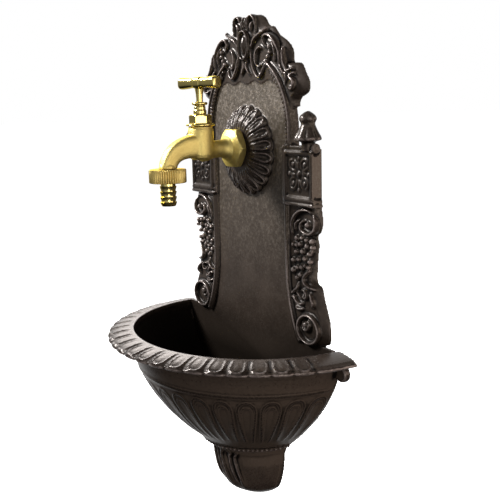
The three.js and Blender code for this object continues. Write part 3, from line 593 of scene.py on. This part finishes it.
def build_rosette(plate):
    """Twenty petals with raised edges and a rib, on a domed plate behind the tap."""
    cz, petals = 166.0, 20
    sides = petals * 8
    fold = (1 - np.abs(np.sin(petals / 2 * full_turn(sides)))) ** 1.5
    rings = []
    for radius, depth, cut in (
            (41.0, 5, 2.4), (41.2, 8, 2.4), (37.5, 11, 1.9), (32, 14.2, 1.5), (27, 17, 1.0),
            (22, 18.4, 0.6), (15, 18.6, 0)):
        r = radius - cut * fold
        rings.append(wall_ring(0, cz, depth, r, r, sides))
    plate.loft(rings)

    def surface(angle, radius):
        depth = np.interp(radius, (22, 27, 32, 37.5, 41), (18.4, 17, 14.2, 11, 8))
        return np.array([radius * math.cos(angle), -depth, cz + radius * math.sin(angle)])

    half = np.pi / petals
    edge = spline(mirrored([(0.42, 19), (0.58, 27), (0.68, 34), (0.5, 38.4), (0, 40.2)]), 4)
    for i in range(petals):
        mid = 2 * np.pi * (i + 0.5) / petals
        up = (0.55 * math.cos(mid), -0.84, 0.55 * math.sin(mid))
        path = [surface(mid + half * u, r) for u, r in edge]
        plate.ridge(path, up, 1.9, 1.7, taper=0.95)
        rib = [surface(mid, r) for r in (20, 26, 32, 36.5)]
        plate.ridge(rib, up, 2.6, 1.5, taper=0.6)


# Basin

def bowl_outside(z):
    """Half width and reach of the bowl's outside at a height."""
    depth = min(1.0, max(0.0, -z / BOWL_H))
    shape = 1 - depth ** 1.8
    share = RIM_R / RIM_W
    half = STEM_W + 4 + (RIM_W + 5 - STEM_W - 4) * shape
    blend = share + (STEM_R / STEM_W - share) * (1 - shape)
    return half, half * blend


def basin_inside(z):
    half, reach = bowl_outside(z)
    wall = 5 * (1 - 0.5 * z / 92)
    return half - wall, reach - wall


def oval_point(half, reach, angle, z):
    return np.array([half * math.cos(angle), -STANDOFF - reach * math.sin(angle), z])


def half_oval(half, reach, z, n, back=0.0, cut=0.0, drop=0.0):
    """A half oval ring closed along the wall, with cuts into it and drops for each point."""
    t = np.linspace(0, np.pi, n + 1)
    arc = np.column_stack([(half - cut) * np.cos(t), -STANDOFF - back - (reach - cut) * np.sin(t),
                           np.full(n + 1, float(z)) - drop])
    return np.vstack([[half, -back, z], arc, [-half, -back, z]])


def build_bowl(basin):
    n = 128
    levels = [-BOWL_H, -109, -106, -102, -97] + list(np.linspace(-92, -4, 20))
    rings = [half_oval(*bowl_outside(z), z, n) for z in levels]
    half, reach = basin_inside(0)
    rings.append(half_oval(half + 1.2, reach + 1.2, -1.0, n, 2.5))
    for z in list(np.linspace(-1, -84, 18)) + [-88, -91, -92]:
        half, reach = basin_inside(z)
        round_in = 0 if z > -84 else (84 + z) ** 2 / 64 * 5
        rings.append(half_oval(half - round_in, reach - round_in, z, n, 2.5))
    basin.loft(rings)


def carve_bowl(basin):
    """Tongues with double edges, a soft swell under the flange, and the beads and edges of the foot."""
    def surface(angle, z, out=0.0):
        half, reach = bowl_outside(z)
        return oval_point(half + out, reach + out, angle, z)

    def rib(rows, width, rise, taper=0.9):
        path = np.array([surface(a, z, 0.1) for a, z in rows])
        up = []
        for a, z in rows:
            p = surface(a, z)
            up.append(np.cross(surface(a, z + 1) - p, surface(a + 0.01, z) - p))
        up = unit(np.array(up))
        if up[0] @ (path[0] * [1, 1, 0]) < 0:
            up = -up
        basin.ridge(path, up, width, rise, taper)

    def around(z, steps, width, rise):
        rib([(a, z) for a in np.linspace(0.02, np.pi - 0.02, steps)], width, rise, 1)

    tongues = 16
    pitch = np.pi / tongues
    half = pitch * 0.37
    shape = mirrored([(0.72, -97), (0.86, -80), (1, -60), (0.96, -49), (0.62, -43), (0, -41)])
    for i in range(tongues):
        mid = pitch * (i + 0.5)
        outer = [(mid + half * u, z) for u, z in shape]
        rib(spline(outer, 5), 1.6, 0.8)
        inner = [(mid + (a - mid) * 0.66, z if z < -60 else -60 + (z + 60) * 0.7) for a, z in outer]
        rib(spline(inner, 5), 1.2, 0.55)
    around(-35, 90, 5.0, 0.7)
    string_beads(basin)
    around(-111.6, 60, 2.4, 1.8)
    around(-105.4, 60, 1.4, 0.9)


def string_beads(basin):
    beads, radius = 40, 1.75
    half, reach = bowl_outside(-108.5)
    for i in range(beads):
        x, y, z = oval_point(half + 0.6, reach + 0.6, np.pi * (i + 0.5) / beads, -109)
        basin.loft([level_ring(x, y, z + radius * math.sin(lat), radius * math.cos(lat), 8)
                    for lat in np.radians([-80, -45, 0, 45, 80])])


def build_flange(basin):
    """The drooping flange, nicked between its tongues, with edges and a swell on each tongue."""
    tongues, per = 24, 10
    n = tongues * per
    half, reach = RIM_W + FLANGE, RIM_R + FLANGE
    steps = np.arange(n + 1)
    phase = np.abs(np.sin(np.pi * steps / per))
    nick = (1 - phase) ** 2 * np.clip(np.minimum(steps, n - steps) / per - 1, 0, 1)

    def ring(inset, z, cut=0.0, drop=0.0):
        return half_oval(half - inset, reach - inset, z, n, cut=cut * nick, drop=drop * nick)

    def top(s):
        """Height of the upper face; s is 0 at the inner lip and 1 at the outer edge."""
        return -DROOP * (0.12 * s + 0.72 * s ** 2.2)

    rings = [ring(FLANGE - 1, -8.5), ring(FLANGE * 0.6, -8.2), ring(8, -8.4), ring(1.6, -8.4, 1.8),
             ring(0.3, -7.6, 1.8), ring(0, -6.6, 1.8), ring(0.6, -5.4, 1.7), ring(2, -4.9, 1.5, 0.6)]
    rings += [ring(FLANGE * (1 - s), top(s), 0, 0.7) for s in (0.8, 0.65, 0.5, 0.35, 0.2)]
    rings += [ring(FLANGE * 0.92, top(0.08)), ring(FLANGE - 0.6, 0.0), ring(FLANGE + 0.3, -0.4)]
    basin.loft(np.transpose(np.array(rings), (1, 0, 2)))

    def surface(t, s):
        inset = FLANGE * (1 - s)
        return oval_point(half - inset, reach - inset, t, top(s))

    pitch = np.pi / tongues
    edge = spline(mirrored([(0.30, 0.13), (0.33, 0.4), (0.34, 0.68), (0.26, 0.88), (0, 0.95)]), 5)
    for i in range(2, tongues - 2):
        mid = pitch * (i + 0.5)
        basin.ridge([surface(mid + u * pitch, s) for u, s in edge], UP, 1.2, 0.85, 0.9)
        swell = [surface(mid, s) for s in (0.16, 0.4, 0.65, 0.82)]
        basin.ridge(swell, UP, 5.4, 0.2, 0.7, sides=8)
    lip = [surface(t, 0.03) for t in np.linspace(0, np.pi, 120)]
    basin.ridge(lip, UP, 2.4, 0.7, 1)


# The stem's size against the way down it, both as shares
STEM_PROFILE = spline([
    (-0.02, 1.08), (0.1, 1), (0.16, 0.97), (0.4, 0.93), (0.6, 0.86), (0.78, 0.75), (0.9, 0.58),
    (0.97, 0.38), (1, 0.16)])


def stem_size(down):
    share = np.interp(down, *STEM_PROFILE.T)
    return STEM_W * max(share, 0.62 * share + 0.2), STEM_R * share


def build_stem(basin):
    """The fluted stem, hollow and open at the back down to its solid tip, with folded leaves."""
    n = 72
    t = np.linspace(0, np.pi, n + 1)
    hollow, solid = [], []
    for down in list(np.linspace(-0.02, 0.9, 32)) + [0.94, 0.97, 0.99, 1]:
        half, reach = stem_size(down)
        fade = np.clip(min((down - 0.06) / 0.12, (0.97 - down) / 0.15), 0, 1)
        flute = fade * 1.5 * (1 - np.abs(np.sin(4.5 * (t - 0.5)))) * (t > 1.0)
        z = -BOWL_H - down * STEM_H
        outer = half_oval(half, reach, z, n, cut=flute)
        if down < 0.8:
            share = np.interp(down, (0, 0.45, 0.75, 0.85), (1, 0.9, 0.66, 0.4))
            inner = half_oval(STEM_W * share - 5, STEM_R * share - 5, z, n)[::-1]
            hollow.append(np.vstack([outer, inner]))
        if down > 0.72:
            solid.append(outer)
    basin.loft(hollow)
    basin.loft(solid)

    def leaf(points, width, rise):
        path = spline([oval_point(*stem_size(d), a, -BOWL_H - d * STEM_H) for a, d in points], 6)
        up = path * [1, 1, 0] + [0, STANDOFF, 0]
        basin.ridge(path, up, width, rise, 0.6)

    # leaves on the left and front, plain iron on the right
    for base in (1.02, 1.42, 1.86, 2.3, 2.72):
        leaf([(base, 0.08), (base + 0.1, 0.2), (base + 0.05, 0.4), (base, 0.62), (base + 0.02, 0.86)],
             3.2, 1.7)
        leaf([(base + 0.18, 0.06), (base + 0.24, 0.22), (base + 0.2, 0.45), (base + 0.14, 0.7)], 2.4, 1.3)
    leaf([(1.3, 0.05), (1.22, 0.12), (1.3, 0.2)], 3.4, 1.8)


def build_lugs(basin):
    """Round lugs against the wall at the flange's ends."""
    x = RIM_W + 5 + 3
    z = -DROOP - 8 - 7.5 * 0.5
    knob = ((0, 7.4), (4, 7.3), (5.4, 6.9), (6, 6))
    basin.loft([wall_ring(x, z, depth, r, r, 24) for depth, r in knob], both=True)
    basin.slab([(RIM_W - 5, z - 6.5), (x, z - 6.5), (x, z + 6.8), (RIM_W - 5, z + 6.8)], 0, 5.6, both=True)


# Tap

def round_shape(angles, radius):
    return radius


def turned(part, profile, y=0.0, sides=48, shape=round_shape, closed=False):
    """A turned piece about an upright axis, from [radius, height] rows."""
    a = full_turn(sides)
    part.loft([level_ring(0, y, z, shape(a, r), sides) for r, z in profile], closed=closed)


def towards_wall(part, profile, sides=48, shape=round_shape, closed=False):
    """The same about the tap's level axis, from [radius, depth] rows."""
    a = full_turn(sides)
    part.loft([wall_ring(0, TAP_Z, depth, shape(a, r), shape(a, r), sides) for r, depth in profile],
              closed=closed)


def hexagonal(flats, turn=0.0):
    def shape(a, limit):
        b = (a + turn) % (np.pi / 3) - np.pi / 6
        return np.minimum(flats / 2 / np.cos(b), limit)
    return shape


def build_tap_body(body):
    """Bored shank, hexagonal wall flange, neck, valve chamber and spout."""
    towards_wall(body, [(10.2, 0.3), (10.2, 21), (7.5, 21), (7.5, 0.3)], closed=True)
    towards_wall(body, [(10.2, 18.5), (10.2, 22)])
    flange = [(17.4, 20.3), (18.8, 21.2), (19.6, 22.2), (19.6, 25.6), (17.4, 27.4), (12.6, 30.2)]
    towards_wall(body, flange, 96, hexagonal(34))
    towards_wall(body, [(11.6, 29), (11.2, 31), (9.2, 33.5), (8.2, 36), (7.9, 38), (7.9, 44), (8.8, 48),
                        (10.5, 52), (10.5, 57)])
    turned(body, [(5, 159.6), (8.4, 159.8), (10.4, 161.4), (11.4, 164.5), (11.6, 168), (11.6, 184),
                  (11.3, 186.4), (10.8, 188), (10.8, 189.3)], TAP_Y)
    build_spout(body)
    turned(body, [(7.6, 153.5), (7.5, 155.5), (6.8, 157)], OUT_Y)


def build_spout(body):
    """A flattened tube that bends down to its outlet."""
    start = np.array([TAP_Y + 3, TAP_Z + 3.4])
    corner = np.array([OUT_Y + 5, TAP_Z + 5.5])
    end = np.array([OUT_Y + 0.6, 154.8])
    a = full_turn(40)
    c, s = np.cos(a), np.sin(a)
    rings = []
    for t in np.linspace(0, 1, 26):
        mid = start * (1 - t) ** 2 + corner * 2 * t * (1 - t) + end * t ** 2
        lean = unit((corner - start) * (1 - t) + (end - corner) * t)
        up = np.array([-lean[1], lean[0]])
        tall, wide = 7.3 + 4.4 * (1 - t) ** 1.5, 6.6 + 4.6 * (1 - t) ** 3
        across = np.sign(c) * np.abs(c) ** 0.45 * wide
        high = np.sign(s) * np.abs(s) ** 0.7 * tall
        rings.append(np.column_stack([across, mid[0] + up[0] * high, mid[1] + up[1] * high]))
    body.loft(rings)


def build_bonnet(bonnet):
    """Disc, hexagon, gland with its collar, and a ring."""
    turned(bonnet, [(12.4, 189.75), (12.95, 190.1), (12.95, 191.0), (12.2, 191.6), (9.4, 191.7)], TAP_Y, 64)
    turned(bonnet, [(9.0, 191), (10.2, 192.0), (10.2, 198.6), (9.2, 199.6), (7.6, 199.8)], TAP_Y, 72,
           hexagonal(17.6, -0.08))
    turned(bonnet, [(5.1, 198), (5.1, 206.5), (4.6, 207.4), (4.6, 208), (6.5, 208.3), (6.95, 209),
                    (6.95, 210.1), (6.3, 210.7), (4, 210.7)], TAP_Y)
    turned(bonnet, [(5.1, 200), (5.9, 200.6), (5.9, 203.4), (5.1, 204)], TAP_Y)


def build_handle(handle):
    """The spindle, and a waisted bar laid across its top at a slight angle."""
    top = 227.6
    spindle = [(3, 190.2), (3, 212), (3.0, 214), (3.3, 218), (3.9, 222), (4.6, 225), (4.6, top)]
    turned(handle, spindle, TAP_Y, 32)

    def squarish(a, radius):
        return radius / (np.abs(np.cos(a)) ** 3 + np.abs(np.sin(a)) ** 3) ** (1 / 3)

    bar = Casting()
    half = [(2.6, 24.4), (4.2, 24.2), (5.0, 23.4), (5.3, 22), (5.1, 18), (4.5, 11), (4.4, 7), (4.7, 4.4),
            (5.2, 3.4)]
    turned(bar, [(r, -z) for r, z in half] + half[::-1], shape=squarish)
    v = np.vstack(bar.verts)
    angle = math.radians(12)
    c, s = math.cos(angle), math.sin(angle)
    along, across = np.array([c, s, 0]), np.array([-s, c, 0])
    handle.add(v[:, 2:3] * along + v[:, 0:1] * across + v[:, 1:2] * [0, 0, 1] + [0, TAP_Y, top], bar.faces)


def build_nut(nut):
    top, bottom = 153.1, 141.1
    hole, radius = 6.9, 16.6

    def knurled(a, r):
        return r - 0.95 * (1 - np.abs(np.sin(24 * a))) * (r > 16)

    turned(nut, [(hole, top), (radius - 0.8, top), (radius, top - 0.5), (radius, bottom + 0.5),
                 (radius - 0.8, bottom), (hole, bottom)], OUT_Y, 384, knurled, closed=True)


def build_tail(tail):
    """A bored tail with four barbs."""
    top, low, bore_radius = 153.1, 120.6, 4.75
    pitch = 18.5 / 4
    outer = []
    for i in range(4):
        z = low + i * pitch
        outer.append((6.5 if i else 6.1, z))
        outer += [(7.35, z + pitch * 0.62), (7.5, z + pitch * 0.78), (6.6, z + pitch * 0.86)]
    turned(tail, [(bore_radius, low)] + outer + [(6.6, top), (bore_radius, top)], OUT_Y, 56, closed=True)


plate_parts = Casting(
    build_field, build_arch, build_crest, build_blocks, build_consoles, build_finials, build_rosette)
plate = cast(plate_parts, "iron_plate", 0.85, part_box("back_plate"), hole=(10.7, TAP_Z, 25))
basin_parts = Casting(build_bowl, carve_bowl, build_flange, build_stem, build_lugs)
basin = cast(basin_parts, "iron_basin", 0.95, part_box("basin"))
for obj in (plate, basin):
    # painted shade for the basin's inside and the plate above it
    mark_painted_shade(obj.data, obj is basin)
    even_normals(obj)
tap_body = cast(Casting(build_tap_body), "brass_body", 0.5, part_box("tap_body"), smooth=3)
bonnet = cast(Casting(build_bonnet), "brass_bonnet", 0.32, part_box("tap_bonnet"))
handle = cast(Casting(build_handle), "brass_handle", 0.34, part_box("tee_handle"), smooth=3)
nut = machined(Casting(build_nut), "brass_nut", 50)
tail = machined(Casting(build_tail), "brass_tail", 35)


# Materials

class Tree:
    """The nodes of a material or of the world, with short calls for the kinds used here."""

    def __init__(self, owner):
        owner.use_nodes = True
        self.nodes = owner.node_tree.nodes
        self.links = owner.node_tree.links
        self.where = self.nodes.new("ShaderNodeTexCoord").outputs

    def feed(self, socket, value):
        """Gives a socket another node's result, a number or a colour."""
        if isinstance(value, bpy.types.NodeSocket):
            self.links.new(value, socket)
        else:
            socket.default_value = (*value, 1) if isinstance(value, tuple) else value

    def split(self, vector):
        node = self.nodes.new("ShaderNodeSeparateXYZ")
        self.links.new(vector, node.inputs["Vector"])
        return node.outputs

    def attribute(self, name):
        node = self.nodes.new("ShaderNodeAttribute")
        node.attribute_name = name
        return node.outputs["Fac"]

    def add(self, kind, inputs, output, operation=None):
        """Adds a node, feeds its inputs and gives back one of its outputs."""
        node = self.nodes.new("ShaderNode" + kind)
        if operation:
            node.operation = operation
        for name, value in inputs.items():
            self.feed(node.inputs[name], value)
        return node.outputs[output]

    def noise(self, scale, detail, rough):
        inputs = {"Vector": self.where["Object"], "Scale": scale, "Detail": detail, "Roughness": rough}
        return self.add("TexNoise", inputs, "Fac")

    def remap(self, source, low, high, to_low=0.0, to_high=1.0):
        inputs = {"Value": source, "From Min": low, "From Max": high, "To Min": to_low, "To Max": to_high}
        return self.add("MapRange", inputs, "Result")

    def math(self, operation, a, b=0.0):
        return self.add("Math", {0: a, 1: b}, 0, operation)

    def times(self, *factors):
        result = factors[0]
        for factor in factors[1:]:
            result = self.math("MULTIPLY", result, factor)
        return result

    def mix(self, factor, a, b):
        node = self.nodes.new("ShaderNodeMix")
        node.data_type = "RGBA"
        for name, value in (("Factor", factor), ("A", a), ("B", b)):
            self.feed(node.inputs[name], value)
        return node.outputs["Result"]

    def within(self, source, low, high, soft=0.001):
        """One between two limits, falling to nought past them."""
        return self.times(self.remap(source, low - soft, low), self.remap(source, high + soft, high))

    def dot(self, direction):
        """How far a ray of the world goes along a direction."""
        return self.add("VectorMath", {0: self.where["Generated"], 1: direction}, "Value", "DOT_PRODUCT")


class Paint(Tree):
    """A new material's nodes, with calls that reach its shader."""

    def __init__(self, name):
        self.material = bpy.data.materials.new(name)
        super().__init__(self.material)
        self.shader = self.nodes["Principled BSDF"].inputs

    def set(self, name, value):
        self.feed(self.shader[name], value)

    def bump(self, height, strength, distance):
        inputs = {"Height": height, "Strength": strength, "Distance": distance}
        self.set("Normal", self.add("Bump", inputs, "Normal"))


# Tones of the iron, among them painted light and shade
PAINT_DARK = (0.027, 0.0195, 0.015)
PAINT_LIGHT = (0.040, 0.0295, 0.023)
BASIN_BROWN = (0.085, 0.063, 0.049)
# painted light for the upper field and the plate's side faces, with some dust
DUST_AND_LIGHT = (0.074, 0.061, 0.046)
BLOCK_BLACK = (0.012, 0.009, 0.0072)
# painted light: the blocks' lit side faces
BLOCK_LIT_SIDE = (0.18, 0.143, 0.115)
GRIT = (0.22, 0.187, 0.154)
# painted shade in the hollows
PAINTED_HOLLOW_SHADE = (0.004, 0.003, 0.0026)
CARVED = (0.03, 0.0225, 0.0185)
# pale high places: part wear, part painted highlight
RUBBED_AND_HIGHLIGHT = (0.34, 0.28, 0.26)
# painted shade: the basin's inside and the plate above it
PAINTED_SHADE_BLACK = (0.0075, 0.0056, 0.0042)


def field_mask(paint, x, y, z):
    """One on the plain field of the back plate and nought elsewhere."""
    remap, times = paint.remap, paint.times
    above = paint.math("MAXIMUM", paint.math("SUBTRACT", z, (RIM + SPRING) / 1000), 0.0)
    spread = paint.math("SQRT", paint.math("ADD", times(x, x), times(above, above)))
    inside = remap(spread, (ARCH_R - BORDER + 1) / 1000, (ARCH_R - BORDER) / 1000)
    under_hem = remap(z, (RIM + HEM + 3) / 1000, (RIM + HEM + 2) / 1000)
    return times(inside, paint.within(y, -0.0062, -0.0056, 0.0002), under_hem)


def iron_material():
    """Black-brown paint with painted light and shade: the upper field lighter towards its top (dust and
    painted light), the side faces painted lighter, high places pale (wear and painted highlight), and
    painted shade in the hollows, in the basin and on the plate above it.
    """
    paint = Paint("painted_cast_iron")
    remap, times, mix = paint.remap, paint.times, paint.mix
    x, y, z = paint.split(paint.where["Object"])
    facing_x = paint.split(paint.where["Normal"])["X"]
    # painted shade, stored on the iron meshes
    painted_shade = paint.attribute("painted_shade")
    grain = paint.noise(850, 3, 0.7)
    speck = paint.noise(420, 3, 0.65)
    cloud = paint.noise(28, 4, 0.6)
    # places on the fountain
    front = remap(y, -0.0006, -0.0014)
    field = field_mask(paint, x, y, z)
    blocks = times(remap(paint.math("ABSOLUTE", x), 0.060, 0.061), paint.within(z, -0.080, -0.027), front)
    # painted light on faces turned sideways, fading out towards the basin
    side = times(remap(paint.math("ABSOLUTE", facing_x), 0.6, 0.88, 0.0, 0.8), remap(z, -0.19, -0.1))
    height = times(paint.attribute("relief"), paint.math("SUBTRACT", 1.0, field), front)
    # the basin is browner; the upper field grows lighter towards its top, partly dust and partly painted
    # light from above; the plate's side faces get painted light; and the blocks are darker
    base = mix(remap(cloud, 0.35, 0.65), PAINT_DARK, PAINT_LIGHT)
    base = mix(times(remap(z, -0.205, -0.225, 0.0, 0.75), front), base, BASIN_BROWN)
    # the field lighter towards its top (some dust, some painted light from above) and the painted-lit side
    # faces
    dust_and_light = paint.math("MAXIMUM", times(field, remap(z, -0.15, 0.04)), side)
    dusty_and_lit = times(dust_and_light, remap(cloud, 0.3, 0.6, 0.75, 1.0))
    base = mix(dusty_and_lit, base, DUST_AND_LIGHT)
    base = mix(times(blocks, 0.6), base, BLOCK_BLACK)
    # painted light on the blocks' side faces
    base = mix(times(side, blocks), base, BLOCK_LIT_SIDE)
    base = mix(times(remap(speck, 0.47, 0.68), remap(dusty_and_lit, 0, 1, 0.05, 0.9)), base, GRIT)
    # painted shade blackens the hollows; high places are painted pale, partly wear and partly painted
    # highlight, less so on the blocks
    base = mix(remap(height, -0.03, -0.22), base, PAINTED_HOLLOW_SHADE)
    carved = times(remap(height, 0.06, 0.2), remap(blocks, 0, 1, 1.0, 0.3))
    base = mix(carved, base, CARVED)
    # high places painted pale, part wear and part painted highlight; this also raises their gloss
    rubbed_and_highlight = times(remap(height, 0.29, 0.74), remap(blocks, 0, 1, 1.0, 0.4))
    base = mix(times(rubbed_and_highlight, remap(speck, 0.3, 0.6, 0.35, 0.85)), base, RUBBED_AND_HIGHLIGHT)
    # painted shade mixes the basin's inside and the plate above it towards black
    paint.set("Base Color", mix(painted_shade, base, PAINTED_SHADE_BLACK))
    # the carving is smoother, and the places with painted shade and the blocks are duller
    half_on_blocks = remap(blocks, 0, 1, 1.0, 0.5)
    rough = times(remap(speck, 0.3, 0.7, 0.85, 1.25), remap(dusty_and_lit, 0, 1, 0.33, 0.46))
    polish = times(remap(height, 0.04, 0.3, 0.0, 0.16), half_on_blocks)
    paint.set("Roughness", paint.math("SUBTRACT", rough, polish))
    gloss = paint.math("ADD", 0.38, times(rubbed_and_highlight, 0.35))
    paint.set("Specular IOR Level", times(gloss, remap(painted_shade, 0, 1, 1.0, 0.25), half_on_blocks))
    paint.set("Specular Tint", (1.0, 0.87, 0.79))
    bumps = paint.math("ADD", times(grain, 0.35), speck)
    paint.bump(bumps, remap(dusty_and_lit, 0, 1, 0.22, 1.0), 0.0006)
    return paint.material


def brass_material(name, rough, grainy, tint):
    paint = Paint(name)
    cloud = paint.noise(60, 3, 0.5)
    grain = paint.noise(900, 3, 0.6)
    darker = tuple(c * 0.86 for c in tint)
    paint.set("Base Color", paint.mix(paint.remap(cloud, 0.35, 0.65), tint, darker))
    paint.set("Metallic", 1.0)
    paint.set("Specular Tint", (0.5, 0.42, 0.22))
    paint.set("Roughness", paint.remap(grain, 0.3, 0.7, rough * 0.8, rough * 1.25))
    paint.bump(grain, grainy, 0.0003)
    return paint.material


iron = iron_material()
cast_brass = brass_material("cast_brass", 0.5, 1.0, (0.80, 0.65, 0.23))
turned_brass = brass_material("turned_brass", 0.18, 0.12, (0.86, 0.71, 0.26))
dull_brass = brass_material("dull_brass", 0.42, 0.5, (0.62, 0.48, 0.17))

for obj, node, body, slot, mat in (
        (plate, "back_plate", "fountain", "iron", iron),
        (basin, "basin", "fountain", "iron", iron),
        (tap_body, "tap_body", "fountain", "brass", cast_brass),
        (bonnet, "tap_bonnet", "fountain", "brass", turned_brass),
        (handle, "tee_handle", "handle", "brass", turned_brass),
        (nut, "hose_union_nut", "fountain", "brass", dull_brass),
        (tail, "hose_tail", "fountain", "brass", turned_brass)):
    obj.data.materials.clear()
    obj.data.materials.append(mat)
    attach(obj, body)
    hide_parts(node)


# Camera, floor, lights and surroundings

def add_camera():
    """The photograph's own view, found by fitting a camera to it."""
    azimuth, elevation, roll = np.radians([57.1, 9.9, -1.3])
    target, distance = Vector((-0.0090, -0.0017, -0.1307)), 0.7953
    focal_pixels, picture_pixels = 823, 500
    back = Vector((math.sin(azimuth) * math.cos(elevation), -math.cos(azimuth) * math.cos(elevation),
                   math.sin(elevation)))
    right = Vector((math.cos(azimuth), math.sin(azimuth), 0))
    up = back.cross(right)
    x_axis = right * math.cos(roll) + up * math.sin(roll)
    y_axis = up * math.cos(roll) - right * math.sin(roll)
    place = Matrix((x_axis, y_axis, back)).transposed().to_4x4()
    place.translation = target + back * distance
    camera = new_object("camera", bpy.data.cameras.new("camera"))
    camera.matrix_world = place
    camera.data.sensor_width = 36
    camera.data.lens = camera.data.sensor_width * focal_pixels / picture_pixels
    camera.data.clip_start = 0.01
    bpy.context.scene.camera = camera


def add_floor():
    """A plain pale floor that glows a little and throws no light on the fountain."""
    half, height = 30, -0.46
    mesh = bpy.data.meshes.new("floor")
    corners = [(-half, -half, height), (half, -half, height), (half, half, height), (-half, half, height)]
    mesh.from_pydata(corners, [], [(0, 1, 2, 3)])
    floor = new_object("floor", mesh)
    paint = Paint("pale_floor")
    paint.set("Base Color", paint.mix(paint.noise(3, 2.0, 0.5), (0.93, 0.93, 0.93), (0.95, 0.95, 0.95)))
    paint.set("Roughness", 1.0)
    paint.set("Specular IOR Level", 0.0)
    paint.set("Emission Color", (1, 1, 1))
    paint.set("Emission Strength", 0.85)
    mesh.materials.append(paint.material)
    floor.visible_diffuse = False
    floor.visible_glossy = False


def add_light(name, place, target, size, power, color):
    """A round soft lamp. Places and size are in metres, power is in watts."""
    data = bpy.data.lights.new(name, "AREA")
    data.shape = "DISK"
    data.size = size
    data.energy = power
    data.color = color
    light = new_object(name, data)
    light.location = place
    light.rotation_euler = (Vector(target) - Vector(place)).to_track_quat("-Z", "Y").to_euler()


def add_world():
    """A white sweep low behind the object, a soft grey room about it and dark above and below."""
    world = bpy.data.worlds.new("studio")
    bpy.context.scene.world = world
    tree = Tree(world)
    height = tree.split(tree.where["Generated"])["Z"]
    sweep = tree.remap(tree.dot(Vector((-0.82, 0.54, 0.06)).normalized()), 0.45, 0.8)
    low = tree.remap(height, -0.42, -0.12, 0.03, 0.55)
    high = tree.remap(height, 0.8, 0.35, 0.15, 1.0)
    room = tree.times(low, high, tree.remap(tree.dot(Vector((0.8, -0.6, 0))), 0.45, 0.8, 0.3, 1.0))
    level = tree.math("MAXIMUM", sweep, room)
    # the backdrop that the camera sees is plain white
    level = tree.math("MAXIMUM", level, tree.add("LightPath", {}, "Is Camera Ray"))
    background = tree.nodes["Background"].inputs
    tree.feed(background["Strength"], level)
    tree.feed(background["Color"], (1, 1, 1))


add_camera()
add_floor()
add_light("key", (-0.8, -0.85, 0.75), (0, -0.03, 0.0), 0.4, 42, (1, 1, 1))
add_light("gleam", (-1.15, 0.32, 0.5), (0, -0.05, -0.15), 0.7, 8, (1.0, 0.94, 0.90))
add_light("side", (1.35, 0.55, 0.1), (0, 0, -0.1), 0.9, 6, (1.0, 0.84, 0.74))
add_light("front", (1.35, -0.55, -0.3), (0, -0.08, -0.28), 0.8, 6, (1.0, 0.92, 0.86))
add_world()
bpy.context.scene.view_settings.view_transform = "Standard"
